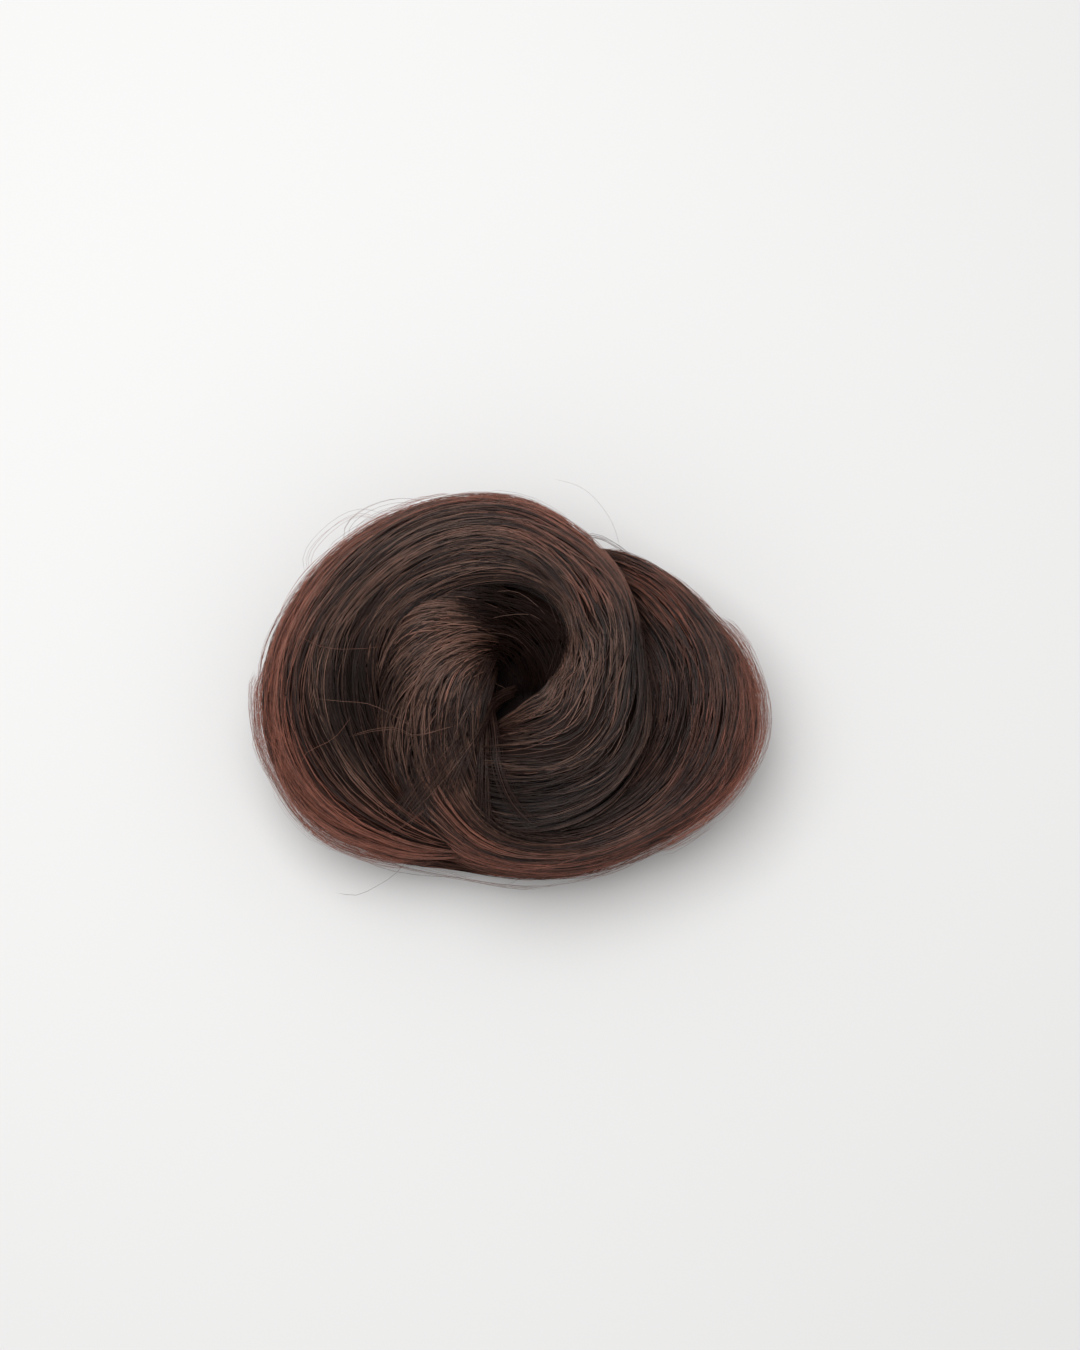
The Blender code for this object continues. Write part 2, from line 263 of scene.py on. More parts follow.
@dataclass
class HairForm:
    """A body of hair as a grid of places and normals over azimuth and share of the way round."""

    sections: tuple[Section, ...]
    closed: bool = False
    rows: int = 260
    columns: int = 180
    rim_share: float = 0.25
    rim_width: float = 0.13
    azimuths: np.ndarray = field(init=False)
    grid: np.ndarray = field(init=False)
    normals: np.ndarray = field(init=False)

    def __post_init__(self) -> None:
        """Fills the grid of places and of normals."""
        first = self.sections[0].azimuth
        last = first + FULL_TURN if self.closed else self.sections[-1].azimuth
        self.azimuths = np.linspace(first, last, self.rows)
        self.grid = np.stack([self.ring(azimuth) for azimuth in self.azimuths])
        round_step = np.gradient(self.grid, axis=1)
        along_step = np.gradient(self.grid, axis=0)
        normals = np.cross(along_step, round_step)
        sizes = np.linalg.norm(normals, axis=2, keepdims=True)
        self.normals = normals / np.maximum(sizes, TINY)

    def table_at(self, azimuth: np.ndarray) -> np.ndarray:
        """Inner, outer, base, top and lean on a smooth curve through the table.

        Args:
            azimuth: Azimuths in degrees.

        Returns:
            Five rows of values, one for each column of the table.
        """
        places = np.array([row.azimuth for row in self.sections], dtype=float)
        values = np.array([[row.inner, row.outer, row.base, row.top, row.lean] for row in self.sections])
        if self.closed:
            azimuth = places[0] + (azimuth - places[0]) % FULL_TURN
            places = np.concatenate(([places[-1] - FULL_TURN], places, places[:2] + FULL_TURN))
            values = np.concatenate((values[-1:], values, values[:2]))
        slopes = np.gradient(values, axis=0)
        slopes[1:-1] = (values[2:] - values[:-2]) / (places[2:] - places[:-2])[:, None]
        slopes[0] = (values[1] - values[0]) / (places[1] - places[0])
        slopes[-1] = (values[-1] - values[-2]) / (places[-1] - places[-2])
        index = np.clip(np.searchsorted(places, azimuth, side="right") - 1, 0, len(places) - 2)
        span = (places[index + 1] - places[index])[:, None]
        share = ((azimuth - places[index]) / span[:, 0])[:, None]
        square, cube = share**2, share**3
        result = (
            (2 * cube - 3 * square + 1) * values[index]
            + (cube - 2 * square + share) * slopes[index] * span
            + (3 * square - 2 * cube) * values[index + 1]
            + (cube - square) * slopes[index + 1] * span
        )
        return result.T

    def section_line(self, azimuth: float, turns: np.ndarray) -> np.ndarray:
        """Points of one section at given turns: 0 is its outer side and 90 degrees its top.

        Args:
            azimuth: Azimuth of the section in degrees.
            turns: Turns round the section in radians.

        Returns:
            The points, one row each.
        """
        inner, outer, base, top, lean = self.table_at(np.array([azimuth]))[:, 0]
        across, upward = rounded(np.cos(turns)), rounded(np.sin(turns))
        radial = (inner + outer) / 2 + (outer - inner) / 2 * across
        level = (base + top) / 2 + (top - base) / 2 * upward - lean * across / 2
        bearing = math.radians(azimuth)
        return np.stack(
            (
                HOLLOW_X + radial * math.cos(bearing) * WIDTH / 2,
                HOLLOW_Y + radial * math.sin(bearing) * DEPTH / 2,
                level * HEIGHT,
            ),
            axis=1,
        )

    def ring(self, azimuth: float) -> np.ndarray:
        """One row of the grid: the section from its lowest place, by its outer side, all the way round."""
        turns = np.radians(np.linspace(-90.0, 270.0, 721))
        return evenly(self.section_line(azimuth, turns), self.columns)

    def lookup(self, values: np.ndarray, azimuth: np.ndarray, share: np.ndarray) -> np.ndarray:
        """Values of one grid between its rows and columns.

        Args:
            values: The grid of places or of normals.
            azimuth: Azimuths in degrees.
            share: Shares of the way round the section, 0 to 1.

        Returns:
            One row of three values for each pair of azimuth and share.
        """
        first, last = self.azimuths[0], self.azimuths[-1]
        if self.closed:
            azimuth = first + (azimuth - first) % FULL_TURN
        row = np.clip((azimuth - first) / (last - first), 0.0, 1.0) * (self.rows - 1)
        column = np.clip(share, 0.0, 1.0) * (self.columns - 1)
        row_low = np.minimum(row.astype(int), self.rows - 2)
        column_low = np.minimum(column.astype(int), self.columns - 2)
        row_part = (row - row_low)[:, None]
        column_part = (column - column_low)[:, None]
        low = values[row_low, column_low] * (1 - row_part) + values[row_low + 1, column_low] * row_part
        high_row = values[row_low, column_low + 1] * (1 - row_part)
        high = high_row + values[row_low + 1, column_low + 1] * row_part
        return low * (1 - column_part) + high * column_part

    def place(self, azimuth: np.ndarray, share: np.ndarray, lift: np.ndarray) -> np.ndarray:
        """Points over the surface of the form.

        Args:
            azimuth: Azimuths in degrees.
            share: Shares of the way round the section, 0 to 1.
            lift: Heights over the surface.

        Returns:
            The points, one row each.
        """
        surface = self.lookup(self.grid, azimuth, share)
        return surface + self.lookup(self.normals, azimuth, share) * lift[:, None]

    def rim_weight(self, share: np.ndarray) -> np.ndarray:
        """How near places are to the outermost line of the form, from 0 to 1."""
        return np.exp(-(((share - self.rim_share) / self.rim_width) ** 2))

    def depth_inside(self, points: np.ndarray) -> np.ndarray:
        """How far points lie inside the form, in metres. It is negative outside.

        Args:
            points: The points, one row each.

        Returns:
            One depth for each point.
        """
        right = (points[:, 0] - HOLLOW_X) / (WIDTH / 2)
        back = (points[:, 1] - HOLLOW_Y) / (DEPTH / 2)
        radial = np.hypot(right, back)
        bearing = np.degrees(np.arctan2(back, right)) % FULL_TURN
        depth = np.full(len(points), -1.0)
        first, last = self.sections[0].azimuth, self.sections[-1].azimuth
        for lap in (0.0,) if self.closed else (0.0, FULL_TURN):
            azimuth = bearing + lap
            inner, outer, base, top, lean = self.table_at(np.clip(azimuth, first, max(last, FULL_TURN)))
            half, rise = (outer - inner) / 2, (top - base) / 2
            across = (radial - (inner + outer) / 2) / half
            drop = lean * np.clip(across, -1.0, 1.0) / 2
            upward = (points[:, 2] / HEIGHT + drop - (base + top) / 2) / rise
            ratio = (np.abs(across) ** SQUARENESS + np.abs(upward) ** SQUARENESS) ** (1 / SQUARENESS)
            here = (1.0 - ratio) * np.minimum(half * DEPTH / 2, rise * HEIGHT)
            if not self.closed:
                here = np.where((azimuth >= first) & (azimuth <= last), here, -1.0)
            depth = np.maximum(depth, here)
        return depth


@dataclass
class CoilForm(HairForm):
    """The closed base coil with its flat underside, its hollow and the roof over it.

    The way round a section starts at the middle of the roof's underside, runs down the wall of the
    hollow, out along the underside, up the outer side and in over the top to the middle of the roof.
    """

    rim_share: float = 0.57
    rim_width: float = 0.09
    roof_end: int = 16
    wall_end: int = 36
    sole_end: int = 82
    side_end: int = 132

    def ring(self, azimuth: float) -> np.ndarray:
        """One row of the grid, with the same columns at the same edges at every azimuth.

        Args:
            azimuth: Azimuth of the section in degrees.

        Returns:
            The points of the row, one row each.
        """
        bearing = math.radians(azimuth)
        outward = np.array([math.cos(bearing), math.sin(bearing), 0.0])
        middle = np.array([HOLLOW_X, HOLLOW_Y, 0.0])
        up = np.array([0.0, 0.0, 1.0])
        turns = np.radians(np.linspace(-75.0, 180.0, 511))
        line = self.section_line(azimuth, turns)
        line = line[np.argmax(line[:, 2] > 0.0) :]
        foot = line[0] * np.array([1.0, 1.0, 0.0])
        crest = int(np.argmax(line[:, 2]))
        reach = np.linalg.norm((line - middle)[:, :2], axis=1)
        dome = self.dome_height(reach)
        line[:, 2] = np.maximum(line[:, 2], np.where(np.arange(len(line)) > crest, dome, 0.0))
        to_axis = np.linspace(1.0, 0.0, 40)[1:, None]
        centre_reach = reach[-1] * to_axis[:, 0]
        over_middle = middle + outward * centre_reach[:, None] + up * self.dome_height(centre_reach)[:, None]
        over = np.concatenate((line[crest:], over_middle))
        roof_middle = middle + up * HOLLOW_HEIGHT
        ceiling = np.stack((roof_middle, roof_middle + outward * HOLLOW_RADIUS))
        wall = np.stack((ceiling[1], middle + outward * HOLLOW_RADIUS))
        sole = np.stack((wall[1], foot))
        side = np.concatenate((foot[None], line[: crest + 1]))
        edges = (0, self.roof_end, self.wall_end, self.sole_end, self.side_end, self.columns - 1)
        stretches = (ceiling, wall, sole, side, over)
        rows = [evenly(stretch, edges[i + 1] - edges[i] + 1)[:-1] for i, stretch in enumerate(stretches)]
        return np.concatenate((*rows, over[-1:]))

    @staticmethod
    def dome_height(reach: np.ndarray) -> np.ndarray:
        """Height of the roof's top at distances from the axis, and 0 beyond its edge."""
        inside = np.clip(1.0 - (reach / ROOF_RADIUS) ** 2, 0.0, 1.0)
        top = HOLLOW_HEIGHT / 2 + (HOLLOW_HEIGHT / 2 + ROOF_THICKNESS) * np.sqrt(inside)
        return np.where(reach < ROOF_RADIUS, top, 0.0)

    def depth_inside(self, points: np.ndarray) -> np.ndarray:
        """How far points lie inside the coil or its roof, in metres. It is negative outside."""
        reach = np.hypot(points[:, 0] - HOLLOW_X, points[:, 1] - HOLLOW_Y)
        coil = super().depth_inside(points)
        under_dome = np.where(reach < ROOF_RADIUS, self.dome_height(reach) - points[:, 2], -1.0)
        return np.maximum(coil, under_dome)


@dataclass
class Strands:
    """Strands of hair as runs of points in flat arrays, each run one strand."""

    points: np.ndarray
    radii: np.ndarray
    tones: np.ndarray
    reds: np.ndarray
    counts: np.ndarray

    @classmethod
    def joined(cls, parts: Iterable["Strands"]) -> "Strands":
        """All strands of several sets in one set."""
        held = list(parts)
        names = ("points", "radii", "tones", "reds", "counts")
        return cls(*(np.concatenate([getattr(part, name) for part in held]) for name in names))

    def triangles(self) -> int:
        """Triangles that the strands' tubes take."""
        return int(np.sum(6 * (self.counts - 2)))

    def shown(self, hidden: np.ndarray, shortest: int = 5) -> "Strands":
        """The strands without the stretches that are hidden, apart from two points at each cut.

        Args:
            hidden: True for each point that can't be seen.
            shortest: Fewest points of a run that is kept.

        Returns:
            The visible runs as a new set.
        """
        owner = np.repeat(np.arange(len(self.counts)), self.counts)
        keep = ~hidden
        for _ in range(2):
            same = owner[1:] == owner[:-1]
            wider = keep.copy()
            wider[1:] |= keep[:-1] & same
            wider[:-1] |= keep[1:] & same
            keep = wider
        joined = np.zeros(len(keep), dtype=bool)
        joined[1:] = keep[:-1] & keep[1:] & (owner[1:] == owner[:-1])
        run = np.cumsum(keep & ~joined) - 1
        lengths = np.bincount(run[keep]) if keep.any() else np.zeros(0, dtype=int)
        keep &= lengths[np.maximum(run, 0)] >= shortest
        return Strands(
            self.points[keep],
            self.radii[keep],
            self.tones[keep],
            self.reds[keep],
            lengths[lengths >= shortest],
        )

    def frames(self) -> tuple[np.ndarray, np.ndarray]:
        """Two directions across each strand at each of its points.

        Returns:
            The two directions, one row for each point.
        """
        ends = np.cumsum(self.counts)
        starts = ends - self.counts
        ahead = np.minimum(np.arange(len(self.points)) + 1, np.repeat(ends - 1, self.counts))
        behind = np.maximum(np.arange(len(self.points)) - 1, np.repeat(starts, self.counts))
        along = self.points[ahead] - self.points[behind]
        along /= np.maximum(np.linalg.norm(along, axis=1, keepdims=True), TINY)
        rays = np.array([(0, 0, 1), (1, 0, 0), (0, 1, 0), (0.7, 0, 0.7), (0, 0.7, 0.7), (0.7, 0.7, 0)])
        slant = np.maximum.reduceat(np.abs(along @ rays.T), starts, axis=0)
        chosen = rays[np.argmin(slant, axis=1)]
        first = np.cross(along, np.repeat(chosen, self.counts, axis=0))
        first /= np.maximum(np.linalg.norm(first, axis=1, keepdims=True), TINY)
        return first, np.cross(along, first)

    def to_object(self, name: str) -> bpy.types.Object:
        """Closed three-sided tubes, drawn to a point at both ends, as one mesh object.

        Args:
            name: Name of the object and its mesh.

        Returns:
            The new object, linked to the scene.
        """
        first, second = self.frames()
        ends = np.cumsum(self.counts)
        starts = ends - self.counts
        tip = np.zeros(len(self.points), dtype=bool)
        tip[starts] = True
        tip[ends - 1] = True
        sides = np.where(tip, 1, 3)
        base = np.cumsum(sides) - sides
        source = np.repeat(np.arange(len(self.points)), sides)
        corner = np.arange(len(source)) - base[source]
        angle = corner * (2 * math.pi / 3)
        size = np.where(tip, 0.0, self.radii)[source]
        offset = first[source] * np.cos(angle)[:, None] + second[source] * np.sin(angle)[:, None]
        places = self.points[source] + offset * size[:, None]
        places[:, 2] = np.maximum(places[:, 2], LOWEST)

        body = np.flatnonzero(~tip & ~np.roll(tip, -1))
        turns = np.arange(3)
        here = base[body][:, None]
        after = base[body + 1][:, None]
        beside = (turns + 1) % 3
        quads = np.stack((here + turns, here + beside, after + beside, after + turns), axis=2)
        quads = quads.reshape(-1, 4)
        root = base[starts][:, None]
        root_ring = base[starts + 1][:, None]
        root_faces = np.stack((root + 0 * turns, root_ring + beside, root_ring + turns), axis=2)
        point = base[ends - 1][:, None]
        last_ring = base[ends - 2][:, None]
        point_faces = np.stack((point + 0 * turns, last_ring + turns, last_ring + beside), axis=2)
        tips = np.concatenate((root_faces.reshape(-1, 3), point_faces.reshape(-1, 3)))
        tint = np.stack((self.tones[source], self.reds[source]), axis=1)
        return mesh_object(name, places, (quads, tips), tint)


def mesh_object(
    name: str,
    places: np.ndarray,
    faces: Iterable[np.ndarray],
    tint: np.ndarray | None = None,
    combing: np.ndarray | None = None,
) -> bpy.types.Object:
    """Smooth mesh object from arrays.

    Args:
        name: Name of the object and its mesh.
        places: Corner points, one row each.
        faces: Arrays of faces, each array with one number of corners.
        tint: Tone and auburn share of each corner point.
        combing: Texture place of each corner of each face, in the order of the faces.

    Returns:
        The new object, linked to the scene.
    """
    groups = [group for group in faces if len(group)]
    corners = np.concatenate([group.ravel() for group in groups])
    sizes = np.concatenate([np.full(len(group), group.shape[1]) for group in groups])
    mesh = bpy.data.meshes.new(name)
    mesh.vertices.add(len(places))
    mesh.vertices.foreach_set("co", places.astype(np.float32).ravel())
    mesh.loops.add(len(corners))
    mesh.loops.foreach_set("vertex_index", corners.astype(np.int32))
    mesh.polygons.add(len(sizes))
    mesh.polygons.foreach_set("loop_start", (np.cumsum(sizes) - sizes).astype(np.int32))
    mesh.update(calc_edges=True)
    mesh.shade_smooth()
    if tint is not None:
        colours = np.zeros((len(places), 4), dtype=np.float32)
        colours[:, :2] = np.clip(tint, 0.0, 1.0)
        colours[:, 3] = 1.0
        layer = mesh.color_attributes.new(name=HAIR_ATTRIBUTE, type="FLOAT_COLOR", domain="POINT")
        layer.data.foreach_set("color", colours.ravel())
    if combing is not None:
        mesh.uv_layers.new(name="combing").data.foreach_set("uv", combing.astype(np.float32).ravel())
    mesh.validate()
    thing = bpy.data.objects.new(name, mesh)
    bpy.context.scene.collection.objects.link(thing)
    return thing


@dataclass(frozen=True)
class Shade:
    """A patch of a form where light and shade are painted into the hair, with soft edges: lighter for a
    painted highlight, darker for painted shade, and redder partly for auburn tips and partly for painted glow
    of light through thin hair.

    Its place and its half sizes are an azimuth in degrees and a share of the way round the section. Stops
    of 1 double the tone and of -1 halve it.
    """

    azimuth: float
    share: float
    azimuth_size: float
    share_size: float
    stops: float = 0.0
    red: float = 0.0

    def weight(self, azimuth: np.ndarray, share: np.ndarray) -> np.ndarray:
        """Strength of the patch at places on the form, from 0 to 1."""
        along = (azimuth - self.azimuth) / self.azimuth_size
        across = (share - self.share) / self.share_size
        return np.exp(-((along**2 + across**2) ** 2))


def painted_light_at(painted_light: Iterable[Shade], azimuth: np.ndarray, share: np.ndarray) -> tuple[np.ndarray, np.ndarray]:
    """Sums of all patches of painted light and shade at places on a form.

    Args:
        painted_light: The patches of painted light and shade.
        azimuth: Azimuths in degrees.
        share: Shares of the way round the section.

    Returns:
        What the tone is multiplied by, and what is added to the auburn share.
    """
    stops, red = np.zeros(len(azimuth)), np.zeros(len(azimuth))
    for shade in painted_light:
        weight = shade.weight(azimuth, share)
        stops += shade.stops * weight
        red += shade.red * weight
    return 2.0**stops, red


@dataclass(frozen=True)
class Comb:
    """How one layer of wisps is combed over a form. Lengths and widths are in metres.

    Two values are a range that each wisp or strand draws from. Shares bound the middles of the wisps on the
    way round a section. Crossing and slant turn wisps off the combed direction, at random and all alike.
    Wander is how far a wisp swings. Crest raises its middle, tuck sinks its ends, and rim_sink draws it in
    along the form's outermost line. Contrast is in stops, and streak is the length of light and dark along
    a strand. Step and bend are the longest stretch between two points, in metres and in degrees.
    """

    wisps: int
    strands: tuple[int, int]
    shares: tuple[float, float]
    length: tuple[float, float]
    spread: tuple[float, float]
    lift: tuple[float, float]
    radius: tuple[float, float]
    crossing: float = 0.02
    slant: float = 0.0
    wander: float = 0.006
    crest: float = 0.5 * MM
    tuck: float = 1.2 * MM
    rim_sink: tuple[float, float] = (1.2 * MM, 3.8 * MM)
    clumps: int = 3
    tone: tuple[float, float] = (0.08, 0.2)
    contrast: float = 0.8
    streak: tuple[float, float] = (14 * MM, 34 * MM)
    red: tuple[float, float] = (0.0, 0.3)
    azimuths: tuple[float, float] | None = None
    step: float = 4.4 * MM
    bend: float = 12.0

    def strokes(self, form: HairForm, painted_light: Iterable[Shade], rng: np.random.Generator) -> Strands:
        """Strands of all wisps of the layer.

        Args:
            form: The form that the hair lies on.
            painted_light: Patches of painted light and shade, and of redder hair for auburn tips and painted
                glow.
            rng: Source of the random values.

        Returns:
            The strands, hidden stretches among them.
        """
        reach = self.azimuths or (form.azimuths[0], form.azimuths[-1])
        count = rng.integers(self.strands[0], self.strands[1] + 1, self.wisps)
        owner = np.repeat(np.arange(self.wisps), count)
        centre = rng.uniform(*self.shares, self.wisps)
        length = rng.uniform(*self.length, self.wisps)
        probe = rng.uniform(*reach, self.wisps)
        ahead = form.lookup(form.grid, probe + 1.0, centre)
        pace = np.linalg.norm(ahead - form.lookup(form.grid, probe, centre), axis=1)
        sweep = np.minimum(length / np.maximum(pace, SLOWEST_PACE), reach[1] - reach[0])
        start = rng.uniform(reach[0] - 0.6 * sweep, reach[1] - 0.4 * sweep)
        nearby = form.lookup(form.grid, probe, centre + 0.01)
        girth = 100.0 * np.linalg.norm(nearby - form.lookup(form.grid, probe, centre), axis=1)
        half_width = rng.uniform(*self.spread, self.wisps) / 2 / np.maximum(girth, SMALLEST_GIRTH)

        strand_count = len(owner)
        clump = rng.integers(0, self.clumps, strand_count)
        clump_side = rng.uniform(-0.9, 0.9, (self.wisps, self.clumps))[owner, clump]
        side = np.clip(clump_side + rng.normal(0.0, 0.14, strand_count), -1.15, 1.15)
        first = start[owner] + sweep[owner] * rng.uniform(-0.05, 0.14, strand_count)
        last = start[owner] + sweep[owner] * rng.uniform(0.84, 1.05, strand_count)
        if not form.closed or self.azimuths:
            first = np.clip(first, *reach)
            last = np.clip(last, *reach)
        pieces = np.maximum((last - first) * pace[owner] / self.step, (last - first) / self.bend)
        points = np.ceil(pieces).astype(int) + 3
        alive = (last - first) * pace[owner] > SHORTEST_STRAND
        held = (owner, clump, side, first, last, points)
        owner, clump, side, first, last, points = (part[alive] for part in held)
        strand_count = len(owner)

        strand = np.repeat(np.arange(strand_count), points)
        wisp = owner[strand]
        index = np.arange(len(strand)) - np.repeat(np.cumsum(points) - points, points)
        along = index / (points[strand] - 1)
        azimuth = first[strand] + (last - first)[strand] * along
        inward = (azimuth - start[wisp]) / sweep[wisp]

        waves = rng.uniform(0.0, 2 * math.pi, (3, self.wisps))
        paces = rng.uniform(2 * math.pi / 190, 2 * math.pi / 70, (2, self.wisps))
        lean = rng.normal(0.0, self.crossing, self.wisps)
        drift = self.wander * (
            np.sin(azimuth * paces[0][wisp] + waves[0][wisp])
            + 0.6 * np.sin(azimuth * paces[1][wisp] + waves[1][wisp])
        )
        own_wave = rng.uniform(0.0, 2 * math.pi, strand_count)
        own_pace = rng.uniform(2 * math.pi / 120, 2 * math.pi / 40, strand_count)
        own_size = rng.normal(0.0, 0.18, strand_count)
        ripple = own_size[strand] * np.sin(azimuth * own_pace[strand] + own_wave[strand])
        belly = 0.45 + 0.55 * np.sin(math.pi * np.clip(inward, 0.0, 1.0)) ** 0.7
        share = (
            centre[wisp]
            + combed_flow(azimuth, centre[wisp])
            + (lean[wisp] + self.slant) * (inward - 0.5)
            + drift
            + half_width[wisp] * (side[strand] + ripple) * belly
        )
        height = rng.uniform(*self.lift, self.wisps)
        rise = height[wisp] + self.crest * np.sqrt(np.clip(1.0 - side[strand] ** 2, 0.0, 1.0))
        rise += rng.normal(0.0, STRAND_LIFT_NOISE, strand_count)[strand]
        rise += STRAND_WAVE * np.sin(azimuth * paces[1][wisp] * 1.7 + waves[2][wisp])
        ends = smooth_step(along / TUCKED_SHARE) * smooth_step((1.0 - along) / TUCKED_SHARE)
        wisp_sink = rng.uniform(*self.rim_sink, self.wisps)[wisp]
        sink = wisp_sink + rng.normal(0.0, STRAND_SINK_NOISE, strand_count)[strand]
        lift = rise - self.tuck * (1.0 - ends) - sink * form.rim_weight(share)

        radius = rng.uniform(*self.radius, strand_count)
        thin = 0.35 + 0.65 * smooth_step(along / 0.1) * smooth_step((1.0 - along) / 0.2)
        clump_stops = rng.normal(0.0, self.contrast, (self.wisps, self.clumps))[owner, clump]
        stops = clump_stops + rng.normal(0.0, 0.5 * self.contrast, strand_count)
        tone = rng.uniform(*self.tone, self.wisps)[owner] * 2.0**stops
        red = rng.uniform(*self.red, self.wisps)[owner] + rng.normal(0.0, 0.08, strand_count)
        streak_length = rng.uniform(*self.streak, (self.wisps, self.clumps))[owner, clump]
        streak_start = rng.uniform(0.0, 2 * math.pi, (self.wisps, self.clumps))[owner, clump]
        travelled = (azimuth - start[wisp]) * pace[wisp]
        streaks = np.sin(2 * math.pi * travelled / streak_length[strand] + streak_start[strand])
        # Painted light and shade from the patches: the tone is multiplied, and auburn is added for tips and
        # painted glow
        painted_light_and_shade, auburn_and_glow = painted_light_at(painted_light, azimuth, share)
        return Strands(
            form.place(azimuth, share, lift),
            radius[strand] * thin,
            tone[strand] * 2.0 ** (0.6 * self.contrast * streaks) * painted_light_and_shade,
            red[strand] + auburn_and_glow,
            points,
        )


def combed_flow(azimuth: np.ndarray, share: np.ndarray) -> np.ndarray:
    """How far all hair drifts round the section at an azimuth, as a share of the way round."""
    broad = BROAD_DRIFT * np.sin(np.radians(azimuth) * 2.1 + 8.2 * share)
    return broad + FINE_DRIFT * np.sin(np.radians(azimuth) * 4.3 + 13.2 * share + 1.0)


@dataclass(frozen=True)
class HairFinish:
    """Finish of one body of hair.

    Tone leads from the dark colour to the light one, and the auburn share from light to auburn. Gloss is
    the least roughness, shine the strength of reflections, and relief the strength of combed grooves.
    """

    name: str
    dark: tuple[float, float, float]
    light: tuple[float, float, float]
    auburn: tuple[float, float, float]
    gloss: float = 0.30
    shine: float = 0.34
    relief: float = 0.0

    def material(self) -> bpy.types.Material:
        """Builds the material: hair colour by strand, gloss, and a combed relief where one is set.

        Returns:
            The new material.
        """
        material = bpy.data.materials.new(self.name)
        material.use_nodes = True
        nodes, links = material.node_tree.nodes, material.node_tree.links
        shader = nodes["Principled BSDF"]
        shader.inputs["Specular IOR Level"].default_value = self.shine
        colour = nodes.new("ShaderNodeGroup")
        colour.node_tree = strand_colour_group()
        colour.inputs["Dark"].default_value = (*self.dark, 1.0)
        colour.inputs["Light"].default_value = (*self.light, 1.0)
        colour.inputs["Auburn"].default_value = (*self.auburn, 1.0)
        colour.inputs["Gloss"].default_value = self.gloss
        links.new(colour.outputs["Roughness"], shader.inputs["Roughness"])
        if not self.relief:
            links.new(colour.outputs["Colour"], shader.inputs["Base Color"])
            return material
        streaks = nodes.new("ShaderNodeGroup")
        streaks.node_tree = combed_streaks_group()
        links.new(colour.outputs["Colour"], streaks.inputs["Colour"])
        links.new(streaks.outputs["Colour"], shader.inputs["Base Color"])
        bump = nodes.new("ShaderNodeBump")
        bump.inputs["Strength"].default_value = self.relief
        bump.inputs["Distance"].default_value = RELIEF_DEPTH
        links.new(streaks.outputs["Height"], bump.inputs["Height"])
        links.new(bump.outputs["Normal"], shader.inputs["Normal"])
        return material


def new_group(
    name: str, inputs: dict[str, str], outputs: dict[str, str]
) -> tuple[bpy.types.NodeTree, bpy.types.Node, bpy.types.Node]:
    """Empty shader group with named sockets.

    Args:
        name: Name of the group.
        inputs: Socket type of each input by name.
        outputs: Socket type of each output by name.

    Returns:
        The group, its input node and its output node.
    """
    tree = bpy.data.node_groups.new(name, "ShaderNodeTree")
    for label, kind in inputs.items():
        tree.interface.new_socket(label, in_out="INPUT", socket_type=kind)
    for label, kind in outputs.items():
        tree.interface.new_socket(label, in_out="OUTPUT", socket_type=kind)
    return tree, tree.nodes.new("NodeGroupInput"), tree.nodes.new("NodeGroupOutput")


def colour_mix(tree: bpy.types.NodeTree, blend: str = "MIX") -> bpy.types.Node:
    """Mix node for colours in one node tree."""
    mix = tree.nodes.new("ShaderNodeMix")
    mix.data_type = "RGBA"
    mix.blend_type = blend
    return mix


def strand_colour_group() -> bpy.types.NodeTree:
    """Group that turns the tone and auburn share of each strand into colour and roughness.

    Returns:
        The group, built the first time and shared after that.
    """
    name = "strand_colour"
    if name in bpy.data.node_groups:
        return bpy.data.node_groups[name]
    colour, value = "NodeSocketColor", "NodeSocketFloat"
    tree, given, result = new_group(
        name,
        {"Dark": colour, "Light": colour, "Auburn": colour, "Gloss": value},
        {"Colour": colour, "Roughness": value},
    )
    nodes, links = tree.nodes, tree.links
    held = nodes.new("ShaderNodeAttribute")
    held.attribute_name = HAIR_ATTRIBUTE
    parts = nodes.new("ShaderNodeSeparateColor")
    links.new(held.outputs["Color"], parts.inputs["Color"])
    light = colour_mix(tree)
    links.new(parts.outputs["Green"], light.inputs["Factor"])
    links.new(given.outputs["Light"], light.inputs["A"])
    links.new(given.outputs["Auburn"], light.inputs["B"])
    tinted = colour_mix(tree)
    links.new(parts.outputs["Red"], tinted.inputs["Factor"])
    links.new(given.outputs["Dark"], tinted.inputs["A"])
    links.new(light.outputs["Result"], tinted.inputs["B"])
    place = nodes.new("ShaderNodeTexCoord")
    patches = nodes.new("ShaderNodeTexNoise")
    patches.inputs["Scale"].default_value = 330.0
    patches.inputs["Detail"].default_value = 2.0
    links.new(place.outputs["Object"], patches.inputs["Vector"])
    shade = nodes.new("ShaderNodeMapRange")
    shade.inputs["To Min"].default_value = 0.6
    shade.inputs["To Max"].default_value = 1.4
    links.new(patches.outputs["Fac"], shade.inputs["Value"])
    varied = colour_mix(tree, "MULTIPLY")
    varied.inputs["Factor"].default_value = 1.0
    links.new(tinted.outputs["Result"], varied.inputs["A"])
    links.new(shade.outputs["Result"], varied.inputs["B"])
    links.new(varied.outputs["Result"], result.inputs["Colour"])
    dull = nodes.new("ShaderNodeMath")
    dull.operation = "MULTIPLY_ADD"
    dull.inputs[1].default_value = 0.12
    links.new(patches.outputs["Fac"], dull.inputs[0])
    links.new(given.outputs["Gloss"], dull.inputs[2])
    links.new(dull.outputs["Value"], result.inputs["Roughness"])
    return tree


